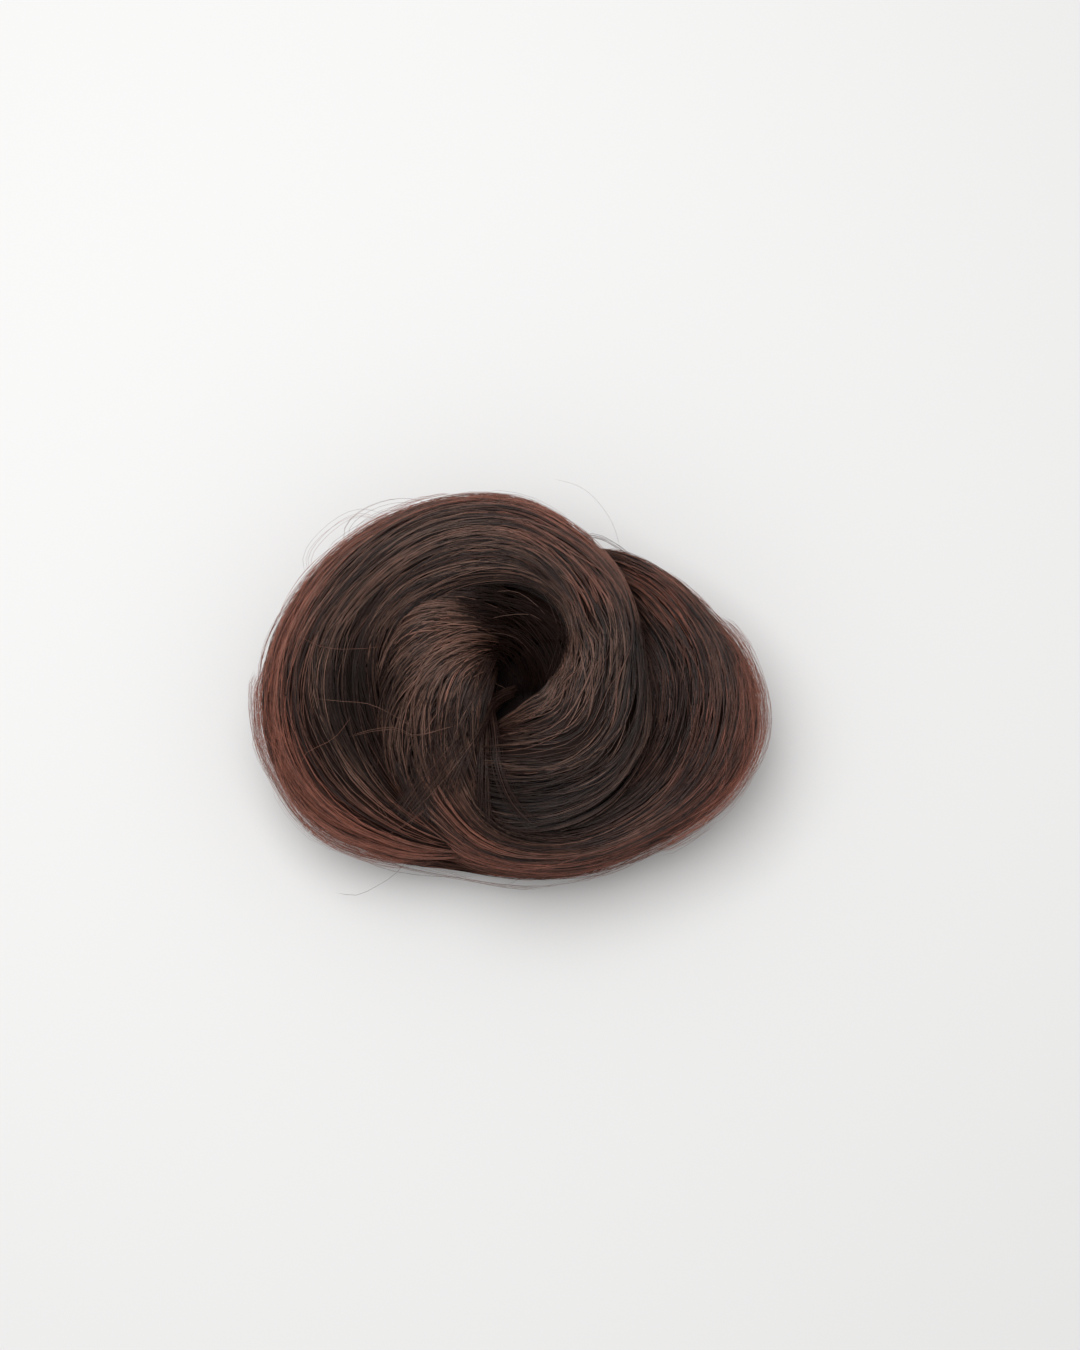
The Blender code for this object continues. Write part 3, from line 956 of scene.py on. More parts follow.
def combed_streaks_group() -> bpy.types.NodeTree:
    """Group that draws fine streaks along the combed direction of a core.

    Returns:
        The group, built the first time and shared after that.
    """
    name = "combed_streaks"
    if name in bpy.data.node_groups:
        return bpy.data.node_groups[name]
    colour, value = "NodeSocketColor", "NodeSocketFloat"
    tree, given, result = new_group(name, {"Colour": colour}, {"Colour": colour, "Height": value})
    nodes, links = tree.nodes, tree.links
    combing = nodes.new("ShaderNodeUVMap")
    combing.uv_map = "combing"
    stretch = nodes.new("ShaderNodeMapping")
    stretch.inputs["Scale"].default_value = (18.0, 2600.0, 1.0)
    links.new(combing.outputs["UV"], stretch.inputs["Vector"])
    streaks = nodes.new("ShaderNodeTexNoise")
    streaks.inputs["Scale"].default_value = 1.0
    streaks.inputs["Detail"].default_value = 3.0
    streaks.inputs["Roughness"].default_value = 0.7
    links.new(stretch.outputs["Vector"], streaks.inputs["Vector"])
    shade = nodes.new("ShaderNodeMapRange")
    shade.inputs["From Min"].default_value = 0.3
    shade.inputs["From Max"].default_value = 0.7
    shade.inputs["To Min"].default_value = 0.45
    shade.inputs["To Max"].default_value = 1.35
    links.new(streaks.outputs["Fac"], shade.inputs["Value"])
    varied = colour_mix(tree, "MULTIPLY")
    varied.inputs["Factor"].default_value = 1.0
    links.new(given.outputs["Colour"], varied.inputs["A"])
    links.new(shade.outputs["Result"], varied.inputs["B"])
    links.new(varied.outputs["Result"], result.inputs["Colour"])
    links.new(streaks.outputs["Fac"], result.inputs["Height"])
    return tree


@dataclass
class HairBody:
    """One body of hair: its core and the layers of wisps over it."""

    node: str
    slot: Slot
    form: HairForm
    seed: int
    combs: dict[str, Comb]
    painted_light: tuple[Shade, ...]
    finish: HairFinish
    core_rows: int = 170
    core_columns: int = 64
    core_depth: float = 1.2 * MM
    core_relief: float = 0.3 * MM
    rim_sink: float = 4.0 * MM
    core_tint: tuple[float, float] = (0.06, 0.1)
    hidden_depth: float = 1.3 * MM
    floor_gap: float = 0.1 * MM

    def core(self) -> bpy.types.Object:
        """Closed body under the strands, with combed ridges.

        Returns:
            The core as an object.
        """
        form = self.form
        wrapped = not isinstance(form, CoilForm)
        rows = np.linspace(form.azimuths[0], form.azimuths[-1], self.core_rows + 1)
        shares = np.linspace(0.0, 1.0, self.core_columns + 1)
        if form.closed:
            rows = rows[:-1]
        if wrapped:
            shares = shares[:-1]
        azimuth, share = (part.ravel() for part in np.meshgrid(rows, shares, indexing="ij"))
        sink = self.core_depth + self.rim_sink * form.rim_weight(share)
        places = form.place(azimuth, share, self.ridges(azimuth, share) - sink)
        places[:, 2] = np.maximum(places[:, 2], self.floor_gap)
        # The patches paint light and shade into the core's tone and redden it too
        painted_light_and_shade, auburn_and_glow = painted_light_at(self.painted_light, azimuth, share)
        tint = np.stack((self.core_tint[0] * painted_light_and_shade, self.core_tint[1] + auburn_and_glow), axis=1)
        if wrapped:
            faces, combing = self.lock_faces(len(rows), len(shares))
            middles = places.reshape(len(rows), len(shares), 3)[[0, -1]].mean(axis=1)
            places = np.concatenate((places, middles))
            tint = np.concatenate((tint, tint[:2]))
        else:
            faces, combing = self.coil_faces(len(rows), len(shares))
        return mesh_object(f"{self.node}_core", places, faces, tint, combing)

    def ridges(self, azimuth: np.ndarray, share: np.ndarray) -> np.ndarray:
        """Heights of the combed ridges of the core at places on the form."""
        drift = share - combed_flow(azimuth, share)
        swell = np.sin(np.radians(azimuth) * 1.3 + 40.0 * drift)
        broad = np.cos(2 * math.pi * BROAD_RIDGES * drift + 0.8 * swell)
        fine = np.cos(2 * math.pi * FINE_RIDGES * drift + 1.1 * swell)
        return self.core_relief * (0.6 * broad + 0.4 * fine)

    def lock_faces(self, rows: int, columns: int) -> tuple[tuple[np.ndarray, np.ndarray], np.ndarray]:
        """Faces of a lock's core: rings joined by quads, and a fan of triangles at each end.

        Args:
            rows: Number of rings.
            columns: Points in a ring.

        Returns:
            The quads and triangles, and the texture place of each of their corners.
        """
        row, column = cells(rows - 1, columns)
        quads = cell_quads(row, column, row + 1, (column + 1) % columns, columns)
        turns = np.arange(columns)
        following = (turns + 1) % columns
        end_row = (rows - 1) * columns
        first = np.stack((np.full(columns, rows * columns), following, turns), axis=1)
        last = np.stack((np.full(columns, rows * columns + 1), end_row + turns, end_row + following), axis=1)
        combing = self.combing(row, column, rows, columns)
        ends = np.concatenate((first, last))[:, ::-1]
        return (quads, ends), np.concatenate((combing, np.zeros((ends.size, 2))))

    def coil_faces(self, rows: int, columns: int) -> tuple[tuple[np.ndarray], np.ndarray]:
        """Faces of the coil's core: quads all the way round the axis.

        Args:
            rows: Number of sections.
            columns: Points in a section, from the axis to the axis.

        Returns:
            The quads, and the texture place of each of their corners.
        """
        row, column = cells(rows, columns - 1)
        quads = cell_quads(row, column, (row + 1) % rows, column + 1, columns)
        return (quads,), self.combing(row, column, rows, columns)

    @staticmethod
    def combing(row: np.ndarray, column: np.ndarray, rows: int, columns: int) -> np.ndarray:
        """Texture places of the corners of quads, in metres along and across the combed direction."""
        along = np.stack((row + 1, row + 1, row, row), axis=1) * (CORE_LENGTH / rows)
        across = np.stack((column, column + 1, column + 1, column), axis=1) * (CORE_GIRTH / columns)
        return np.stack((along, across), axis=2).reshape(-1, 2)

    def dress(self, others: Iterable[HairForm]) -> list[bpy.types.Object]:
        """Args:
            others: Forms whose inside hides this body's strands.

        Returns:
            The pieces.
        """
        rng = np.random.default_rng(self.seed)
        core = self.core()
        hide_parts(self.node)
        pieces = [core]
        core.data.materials.append(self.finish_for_core().material())
        strand_material = self.finish.material()
        for label, comb in self.combs.items():
            strands = comb.strokes(self.form, self.painted_light, rng)
            strands.points[:, 2] = np.maximum(strands.points[:, 2], self.floor_gap + strands.radii)
            hidden = np.zeros(len(strands.points), dtype=bool)
            for other in others:
                hidden |= other.depth_inside(strands.points) > self.hidden_depth
            strands = strands.shown(hidden)
            piece = strands.to_object(f"{self.node}_{label}")
            piece.data.materials.append(strand_material)
            pieces.append(piece)
            LOG.info("%s: %d strands, %d triangles", piece.name, len(strands.counts), strands.triangles())
        for piece in pieces:
            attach(piece, "root")
        return pieces

    def finish_for_core(self) -> HairFinish:
        """The finish of the core: the hair's own colours, duller and with a combed relief."""
        own = self.finish
        return replace(own, name=f"{own.name}_core", gloss=own.gloss + 0.1, shine=0.1, relief=0.6)


@dataclass(frozen=True)
class ElasticBand:
    """The elastic loop as a braided ring."""

    node: str = "elastic_loop"
    along: int = 240
    around: int = 20
    braids: int = 60
    relief: float = 0.14 * MM

    def build(self) -> bpy.types.Object:
        """Returns:
            The ring as an object.
        """
        tube = ELASTIC_THICKNESS / 2
        ring = HOLLOW_RADIUS + tube - ELASTIC_SHOWING
        row, column = cells(self.along, self.around)
        bearing = row * (2 * math.pi / self.along)
        turn = column * (2 * math.pi / self.around)
        braid = np.sin(bearing * self.braids + 3 * turn) * np.sin(bearing * self.braids - 3 * turn)
        size = tube + self.relief * (braid - 1.0)
        reach = ring + size * np.cos(turn)
        places = np.stack(
            (
                HOLLOW_X + reach * np.cos(bearing),
                HOLLOW_Y + reach * np.sin(bearing),
                ELASTIC_LIFT + tube + size * np.sin(turn),
            ),
            axis=1,
        )
        after, beside = (row + 1) % self.along, (column + 1) % self.around
        quads = np.stack(
            (
                row * self.around + column,
                after * self.around + column,
                after * self.around + beside,
                row * self.around + beside,
            ),
            axis=1,
        )
        band = mesh_object(f"{self.node}_braid", places, (quads,))
        band.data.materials.append(self.cloth())
        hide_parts(self.node)
        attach(band, "root")
        return band

    @staticmethod
    def cloth() -> bpy.types.Material:
        """Near-black covered elastic, dull, with worn lighter yarns.

        Returns:
            The new material.
        """
        material = bpy.data.materials.new("elastic_cloth")
        material.use_nodes = True
        nodes, links = material.node_tree.nodes, material.node_tree.links
        shader = nodes["Principled BSDF"]
        shader.inputs["Roughness"].default_value = 0.8
        yarn = nodes.new("ShaderNodeTexNoise")
        yarn.inputs["Scale"].default_value = 1400.0
        place = nodes.new("ShaderNodeTexCoord")
        links.new(place.outputs["Object"], yarn.inputs["Vector"])
        shade = colour_mix(material.node_tree)
        shade.inputs["A"].default_value = (0.010, 0.009, 0.009, 1.0)
        shade.inputs["B"].default_value = (0.035, 0.030, 0.028, 1.0)
        links.new(yarn.outputs["Fac"], shade.inputs["Factor"])
        links.new(shade.outputs["Result"], shader.inputs["Base Color"])
        return material


@dataclass(frozen=True)
class Guide:
    """One wisp along a given route: the route seen from above in millimetres, and how its hairs lie.

    Heights, one for each point of the route, are over the floor. Without them the wisp lies on the hair
    below it.
    """

    route: tuple[tuple[float, float], ...]
    strands: int = 1
    spread: float = 0.6
    pinch: float = 1.0
    lift: float = 0.5
    heights: tuple[float, ...] | None = None
    sag: float = 0.8
    radius: float = 0.08
    tone: float = 0.14
    red: float = 0.2

    def curve(self, count: int) -> np.ndarray:
        """Points at equal steps on a smooth curve through the route, in metres.

        Args:
            count: How many points come back.

        Returns:
            The points, one row each, with the height 0 where none is set.
        """
        plan = np.array(self.route)
        level = np.array(self.heights) if self.heights else np.zeros(len(plan))
        knots = np.column_stack((plan, level)) * MM
        padded = np.concatenate((2 * knots[:1] - knots[1:2], knots, 2 * knots[-1:] - knots[-2:-1]))
        share = np.linspace(0.0, 1.0, 12, endpoint=False)[:, None]
        parts = []
        for index in range(1, len(padded) - 2):
            before, start, end, beyond = padded[index - 1 : index + 3]
            parts.append(
                start
                + 0.5 * share * (end - before)
                + share**2 * (before - 2.5 * start + 2 * end - 0.5 * beyond)
                + share**3 * (-0.5 * before + 1.5 * start - 1.5 * end + 0.5 * beyond)
            )
        parts.append(knots[-1:])
        return evenly(np.concatenate(parts), count)

    def strokes(self, ground: BVHTree, rng: np.random.Generator) -> Strands:
        """Strands of the wisp.

        Args:
            ground: The hair and floor that the wisp lies on.
            rng: Source of the random values.

        Returns:
            The strands.
        """
        rough = self.curve(40)
        length = float(np.sum(np.linalg.norm(np.diff(rough, axis=0), axis=1)))
        count = max(8, int(length / GUIDE_STEP))
        line = self.curve(count)
        along = np.linspace(0.0, 1.0, count)
        ahead = np.gradient(line[:, :2], axis=0)
        ahead /= np.maximum(np.linalg.norm(ahead, axis=1, keepdims=True), TINY)
        sideways = np.stack((-ahead[:, 1], ahead[:, 0]), axis=1)
        fan = self.spread * MM * (self.pinch + (1.0 - self.pinch) * along)
        sets = []
        for _ in range(self.strands):
            side = rng.uniform(-1.0, 1.0) if self.strands > 1 else 0.0
            wave = 0.25 * np.sin(along * rng.uniform(3.0, 7.0) + rng.uniform(0.0, 6.0))
            points = line.copy()
            points[:, :2] += sideways * ((side + wave) * fan)[:, None]
            if self.heights is None:
                points[:, 2] = settled(points, ground, self.lift * MM * rng.uniform(0.6, 1.2))
            else:
                points[:, 2] += rng.normal(0.0, 0.4 * MM) - self.sag * MM * side**2
            ends = 0.4 + 0.6 * smooth_step(along / 0.15) * smooth_step((1.0 - along) / 0.15)
            tone = np.full(count, self.tone * 2.0 ** rng.normal(0.0, 0.9))
            red = np.full(count, self.red + rng.normal(0.0, 0.08))
            sets.append(
                Strands(points, self.radius * MM * ends * rng.uniform(0.8, 1.2), tone, red, np.array([count]))
            )
        return Strands.joined(sets)


def settled(points: np.ndarray, ground: BVHTree, lift: float) -> np.ndarray:
    """Heights of a hair drawn taut over what is below it.

    Args:
        points: Points of the hair, whose heights don't count.
        ground: The hair and floor that it lies on.
        lift: Height over them.

    Returns:
        One height for each point.
    """
    ground_heights = np.zeros(len(points))
    for index, point in enumerate(points):
        hit = ground.ray_cast(Vector((point[0], point[1], ABOVE_ALL)), Vector((0.0, 0.0, -1.0)))
        ground_heights[index] = hit[0].z if hit[0] else 0.0
    heights = ground_heights.copy()
    for _ in range(SETTLING_ROUNDS):
        heights[1:-1] = np.maximum(ground_heights[1:-1], (heights[:-2] + heights[2:]) / 2)
    return heights + lift


@dataclass
class LooseHair:
    """One piece of listed wisps or single hairs, such as the pinch in front of the hollow."""

    name: str
    slot: Slot
    guides: tuple[Guide, ...]
    finish: HairFinish
    seed: int

    def build(self, ground: BVHTree) -> bpy.types.Object:
        """Args:
            ground: The hair and floor that the wisps lie on.

        Returns:
            The piece.
        """
        rng = np.random.default_rng(self.seed)
        strands = Strands.joined(guide.strokes(ground, rng) for guide in self.guides)
        piece = strands.to_object(self.name)
        piece.data.materials.append(self.finish.material())
        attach(piece, "root")
        LOG.info("%s: %d strands, %d triangles", piece.name, len(strands.counts), strands.triangles())
        return piece


@dataclass(frozen=True)
class Studio:
    """Pale floor, soft light and the camera of the photograph."""

    elevation: float = 80.0
    distance: float = 0.62
    pixel: float = 0.225 * MM
    frame_height: float = 1350.0
    aim: tuple[float, float, float] = (6.8 * MM, 2.35 * MM, 16.45 * MM)
    floor_tone: float = 0.82
    key_place: tuple[float, float, float] = (-0.12, 0.12, 0.62)
    key_size: float = 0.50
    key_power: float = 2.9
    fill: float = 0.55

    def build(self) -> None:
        """Builds the floor, the lights and the camera."""
        self.floor()
        self.light("key_light", self.key_place, self.key_size, self.key_power)
        self.world()
        self.camera()

    def floor(self) -> None:
        """Large pale floor under the knot."""
        half = 2.0
        places = np.array([(-half, -half, 0), (half, -half, 0), (half, half, 0), (-half, half, 0)])
        floor = mesh_object("studio_floor", places, (np.array([[0, 1, 2, 3]]),))
        material = bpy.data.materials.new("floor_paper")
        material.use_nodes = True
        shader = material.node_tree.nodes["Principled BSDF"]
        shader.inputs["Base Color"].default_value = (self.floor_tone, self.floor_tone, self.floor_tone, 1.0)
        shader.inputs["Roughness"].default_value = 0.9
        shader.inputs["Specular IOR Level"].default_value = 0.1
        floor.data.materials.append(material)

    @staticmethod
    def light(name: str, place: tuple[float, float, float], size: float, power: float) -> None:
        """Square area light that faces the knot."""
        lamp = bpy.data.lights.new(name, "AREA")
        lamp.size = size
        lamp.energy = power
        thing = bpy.data.objects.new(name, lamp)
        thing.location = place
        thing.rotation_euler = (-Vector(place)).to_track_quat("-Z", "Y").to_euler()
        bpy.context.scene.collection.objects.link(thing)

    def world(self) -> None:
        """Even white light from all round."""
        world = bpy.data.worlds.new("studio_world")
        world.use_nodes = True
        background = world.node_tree.nodes["Background"]
        background.inputs["Color"].default_value = (1.0, 0.99, 0.98, 1.0)
        background.inputs["Strength"].default_value = self.fill
        bpy.context.scene.world = world
        bpy.context.scene.view_settings.view_transform = "Standard"

    def camera(self) -> None:
        """Camera of the photograph: nearly overhead, from the front."""
        tilt = math.radians(self.elevation)
        back = Vector((0.0, -math.cos(tilt), math.sin(tilt)))
        lens = bpy.data.cameras.new("photo_camera")
        lens.sensor_fit = "VERTICAL"
        lens.sensor_height = 36.0
        lens.lens = self.distance / (self.pixel * self.frame_height) * lens.sensor_height
        camera = bpy.data.objects.new("photo_camera", lens)
        camera.location = Vector(self.aim) + back * self.distance
        camera.rotation_euler = (-back).to_track_quat("-Z", "Y").to_euler()
        bpy.context.scene.collection.objects.link(camera)
        bpy.context.scene.camera = camera


# Hair colours: the light colour is a greyish brown, so that the lightest strands show painted highlights; the
# auburn is partly the hair's own tips and partly painted glow of light through thin hair at the rims
DARK_ROOT = (0.009, 0.004, 0.003)
AUBURN_TIP_AND_GLOW = (0.33, 0.118, 0.078)
BROWN = HairFinish("brown_hair", DARK_ROOT, (0.225, 0.134, 0.102), AUBURN_TIP_AND_GLOW)
WARM_BROWN = HairFinish("warm_brown_hair", DARK_ROOT, (0.227, 0.132, 0.100), AUBURN_TIP_AND_GLOW)
AUBURN = HairFinish(
    "auburn_hair",
    (0.010, 0.0044, 0.0034),
    (0.228, 0.130, 0.098),
    (0.33, 0.12, 0.08),
    gloss=0.4,
    shine=0.12,
)

UNDER_COMB = Comb(
    wisps=86,
    strands=(8, 12),
    shares=(0.05, 0.88),
    length=(70 * MM, 140 * MM),
    spread=(2.5 * MM, 5 * MM),
    lift=(-0.9 * MM, -0.4 * MM),
    radius=(0.10 * MM, 0.16 * MM),
    crossing=0.01,
    tone=(0.05, 0.14),
    contrast=0.7,
    red=(0.05, 0.35),
    step=6.5 * MM,
)

OVER_COMB = Comb(
    wisps=222,
    strands=(6, 14),
    shares=(0.08, 0.84),
    length=(45 * MM, 120 * MM),
    spread=(0.8 * MM, 3.0 * MM),
    lift=(-0.6 * MM, 0.1 * MM),
    radius=(0.055 * MM, 0.10 * MM),
    crossing=0.018,
    wander=0.007,
    clumps=4,
    tone=(0.06, 0.20),
    contrast=1.35,
    red=(0.05, 0.4),
    step=4.8 * MM,
)

# Short, thin, light strands on top: painted glints that stand for highlights on single hairs
PAINTED_GLINT_COMB = Comb(
    wisps=330,
    strands=(2, 4),
    shares=(0.30, 0.70),
    length=(14 * MM, 38 * MM),
    spread=(0.5 * MM, 2.0 * MM),
    lift=(-0.2 * MM, 0.25 * MM),
    radius=(0.04 * MM, 0.065 * MM),
    crossing=0.012,
    wander=0.007,
    tuck=0.5 * MM,
    rim_sink=(0.8 * MM, 3.0 * MM),
    clumps=1,
    tone=(0.4, 0.9),
    contrast=0.5,
    red=(0.0, 0.2),
)

# Loose hairs at the rims, light and auburn: partly the thin tips' own colour and partly painted glow of light
# through them
FUZZ_COMB = Comb(
    wisps=360,
    strands=(1, 3),
    shares=(0.14, 0.40),
    length=(18 * MM, 60 * MM),
    spread=(0.5 * MM, 2.0 * MM),
    lift=(-0.5 * MM, 0.9 * MM),
    radius=(0.025 * MM, 0.05 * MM),
    crossing=0.06,
    wander=0.02,
    tuck=0.8 * MM,
    rim_sink=(0.4 * MM, 3.6 * MM),
    tone=(0.3, 0.9),
    contrast=0.7,
    red=(0.5, 1.0),
    step=5.5 * MM,
)

# Very light, thin hairs lifted off the rims: their near-full light tone is partly lighter tips and partly
# painted glow of light through thin hair
HALO_COMB = replace(
    FUZZ_COMB,
    wisps=60,
    strands=(2, 5),
    shares=(0.18, 0.36),
    length=(15 * MM, 45 * MM),
    lift=(0.2 * MM, 2.0 * MM),
    radius=(0.018 * MM, 0.03 * MM),
    crossing=0.10,
    rim_sink=(0.0, 1.5 * MM),
    tone=(0.9, 1.0),
    red=(0.2, 0.7),
)

FLYAWAY_COMB = replace(
    PAINTED_GLINT_COMB,
    wisps=110,
    strands=(1, 2),
    shares=(0.34, 0.64),
    length=(30 * MM, 80 * MM),
    lift=(-0.1 * MM, 0.5 * MM),
    crossing=0.025,
    wander=0.012,
    tone=(0.3, 0.6),
    red=(0.0, 0.4),
    step=5.5 * MM,
)

CROWN_COMBS = {
    "under": UNDER_COMB,
    "over": OVER_COMB,
    "painted_glint": PAINTED_GLINT_COMB,
    "flyaway": FLYAWAY_COMB,
    "fuzz": replace(FUZZ_COMB, azimuths=(425.0, 612.0)),
    "halo": replace(HALO_COMB, azimuths=(540.0, 606.0)),
}

WRAP_COMBS = {
    "under": replace(UNDER_COMB, wisps=58, azimuths=(225.0, 436.0)),
    "over": replace(OVER_COMB, wisps=185, shares=(0.08, 0.66), azimuths=(222.0, 436.0)),
    "spill": replace(
        OVER_COMB,
        wisps=150,
        shares=(0.36, 0.80),
        length=(28 * MM, 52 * MM),
        azimuths=(95.0, 252.0),
        slant=-0.30,
        crossing=0.015,
    ),
    # Light strands on the ridge beside the hollow: painted highlights
    "ridge": replace(
        PAINTED_GLINT_COMB,
        wisps=150,
        shares=(0.36, 0.60),
        length=(12 * MM, 30 * MM),
        azimuths=(125.0, 246.0),
        slant=-0.20,
    ),
    "painted_glint": replace(PAINTED_GLINT_COMB, wisps=220, azimuths=(240.0, 430.0)),
    "flyaway": replace(FLYAWAY_COMB, wisps=70, azimuths=(240.0, 430.0)),
    "fuzz": replace(FUZZ_COMB, wisps=300, azimuths=(250.0, 432.0)),
    "halo": replace(HALO_COMB, azimuths=(300.0, 380.0)),
}

# The base coil's rim strands are redder, partly for auburn tips and partly as painted glow of light through
# thin hair
BASE_COMBS = {
    "rim": Comb(
        wisps=100,
        strands=(8, 14),
        shares=(0.44, 0.76),
        length=(60 * MM, 130 * MM),
        spread=(2.0 * MM, 5 * MM),
        lift=(-0.8 * MM, 0.0),
        radius=(0.07 * MM, 0.12 * MM),
        crossing=0.03,
        tone=(0.12, 0.3),
        red=(0.4, 1.0),
        step=5 * MM,
    ),
    "underside": Comb(
        wisps=46,
        strands=(8, 12),
        shares=(0.01, 0.46),
        length=(50 * MM, 100 * MM),
        spread=(2.0 * MM, 5 * MM),
        lift=(-0.8 * MM, -0.4 * MM),
        radius=(0.10 * MM, 0.16 * MM),
        crossing=0.01,
        wander=0.003,
        tone=(0.07, 0.2),
        red=(0.1, 0.6),
        step=5 * MM,
    ),
    "fuzz": replace(FUZZ_COMB, wisps=300, shares=(0.48, 0.70), lift=(-0.8 * MM, 1.4 * MM)),
    "halo": replace(HALO_COMB, shares=(0.50, 0.68), azimuths=(195.0, 345.0)),
}

# Painted light and shade on the crown lock: painted shade darkens the left band, the belly's foot and the
# hollow, painted highlights lighten the upper left and the ridges, and the rims are redder, partly for auburn
# tips and partly as painted glow of light through thin hair
CROWN_PAINTED_LIGHT = (
    Shade(515, 0.50, 34, 0.12, stops=0.4),
    Shade(470, 0.60, 24, 0.07, stops=0.6),
    Shade(446, 0.69, 14, 0.05, stops=-0.8),
    Shade(465, 0.77, 45, 0.12, stops=-1.8),
    Shade(440, 0.48, 22, 0.08, stops=0.3, red=0.45),
    Shade(412, 0.53, 14, 0.07, stops=0.4, red=0.4),
    Shade(392, 0.46, 16, 0.03, stops=-0.6),
    Shade(360, 0.53, 26, 0.09, stops=0.4),
    Shade(352, 0.42, 42, 0.05, stops=-2.0),
    Shade(365, 0.31, 32, 0.07, stops=-1.0),
    Shade(345, 0.86, 90, 0.12, stops=-1.5),
    Shade(272, 0.58, 20, 0.05, stops=-0.6),
    Shade(250, 0.50, 12, 0.30, stops=-1.3),
    Shade(272, 0.36, 34, 0.13, stops=-1.5),
    Shade(267, 0.43, 13, 0.06, stops=-1.2),
    Shade(556, 0.48, 24, 0.07, stops=-1.1),
    Shade(556, 0.59, 24, 0.07, stops=-2.0),
    Shade(556, 0.38, 50, 0.08, stops=0.5, red=0.65),
    Shade(515, 0.27, 70, 0.10, stops=0.8, red=0.6),
    Shade(578, 0.37, 20, 0.09, stops=0.5, red=0.4),
    Shade(440, 0.34, 32, 0.12, stops=0.6, red=0.45),
    Shade(402, 0.40, 20, 0.13, stops=0.3, red=0.3),
    Shade(602, 0.40, 18, 0.25, stops=0.3, red=0.5),
)

# Painted light and shade on the wrap lock: painted shade in the hollow and the valleys, painted highlights on
# the ridge, and redder rims, partly auburn tips and partly painted glow
WRAP_PAINTED_LIGHT = (
    Shade(165, 0.56, 40, 0.08, stops=0.4),
    Shade(146, 0.43, 14, 0.07, stops=0.5),
    Shade(165, 0.66, 40, 0.09, stops=-1.2),
    Shade(108, 0.52, 26, 0.16, stops=-2.4),
    Shade(140, 0.80, 70, 0.15, stops=-2.2),
    Shade(198, 0.37, 16, 0.08, stops=-1.4),
    Shade(229, 0.42, 9, 0.12, stops=-0.9),
    Shade(246, 0.46, 8, 0.05, stops=0.5, red=0.2),
    Shade(254, 0.42, 10, 0.08, red=0.35),
    Shade(270, 0.46, 16, 0.06, stops=-0.1, red=0.4),
    Shade(275, 0.66, 36, 0.10, stops=-1.2),
    Shade(283, 0.54, 26, 0.09, stops=-1.0, red=-0.4),
    Shade(290, 0.51, 16, 0.06, stops=-0.1, red=0.5),
    Shade(285, 0.31, 48, 0.10, red=0.6),
    Shade(327, 0.44, 20, 0.09, stops=-0.6, red=0.35),
    Shade(352, 0.27, 72, 0.11, stops=0.8, red=0.7),
    Shade(350, 0.50, 60, 0.14, stops=-0.2, red=0.4),
    Shade(355, 0.52, 34, 0.05, stops=0.5, red=0.2),
    Shade(360, 0.62, 62, 0.11, stops=-1.5),
    Shade(395, 0.50, 20, 0.07, stops=0.6, red=0.5),
    Shade(402, 0.36, 22, 0.14, stops=0.2, red=0.35),
)

# Painted shade on the roof of the hollow: much darker and a little less red
BASE_PAINTED_SHADE = (
    Shade(90, 0.92, 200, 0.16, stops=-2.2, red=-0.2),
    Shade(270, 0.92, 200, 0.16, stops=-2.2, red=-0.2),
)

# Wisps that come out of the hollow at its front, pinch together over the crown lock's start and fan out
PINCH_GUIDES = (
    Guide(
        ((3, -2), (-2, -5), (-5, -9), (-6, -18), (-6, -27), (-4, -32)),
        strands=28,
        spread=2.4,
        pinch=0.3,
        heights=(27, 31, 35, 38, 37, 33),
    ),
    Guide(
        ((2, -3), (-3, -6), (-6, -11), (-11, -20), (-14, -27), (-15, -33)),
        strands=38,
        spread=3.8,
        pinch=0.2,
        heights=(28, 33, 38, 41, 38, 31),
    ),
    Guide(
        ((-2, -5), (-6, -10), (-12, -18), (-19, -26), (-25, -32)),
        strands=20,
        spread=3.0,
        pinch=0.25,
        heights=(31, 38, 42, 37, 27),
        radius=0.06,
    ),
    Guide(
        ((-5, 4), (-9, -5), (-13, -14), (-17, -24), (-20, -32)),
        strands=40,
        spread=3.8,
        pinch=0.7,
        heights=(40, 44, 43, 39, 28),
        radius=0.06,
    ),
    Guide(
        ((-1, -5), (-4, -8), (-5, -13), (-5, -24), (-5, -35)),
        strands=22,
        spread=1.8,
        pinch=0.5,
        heights=(27, 31, 36, 39, 33),
        tone=0.07,
    ),
    Guide(
        ((-4, -7), (-3, -14), (-2, -22), (1, -29), (6, -34)),
        strands=18,
        spread=1.8,
        pinch=0.4,
        heights=(34, 39, 41, 40, 36),
        tone=0.06,
    ),
    Guide(
        ((-4, -8), (-8, -16), (-15, -25), (-23, -32)),
        strands=5,
        spread=1.6,
        pinch=0.3,
        heights=(34, 41, 40, 29),
        radius=0.04,
        tone=0.6,
    ),
)

# Dark hair drawn across the floor of the hollow: its near-black tone is painted shade in the hollow
HOLLOW_GUIDES = (
    Guide(((-12, 12), (-4, 14), (4, 11), (9, 4), (9, -4)), strands=60, spread=5.0, lift=0.5, tone=0.03),
    Guide(((-9, 4), (-2, 6), (3, 2), (4, -5)), strands=50, spread=4.5, lift=0.5, tone=0.02),
)
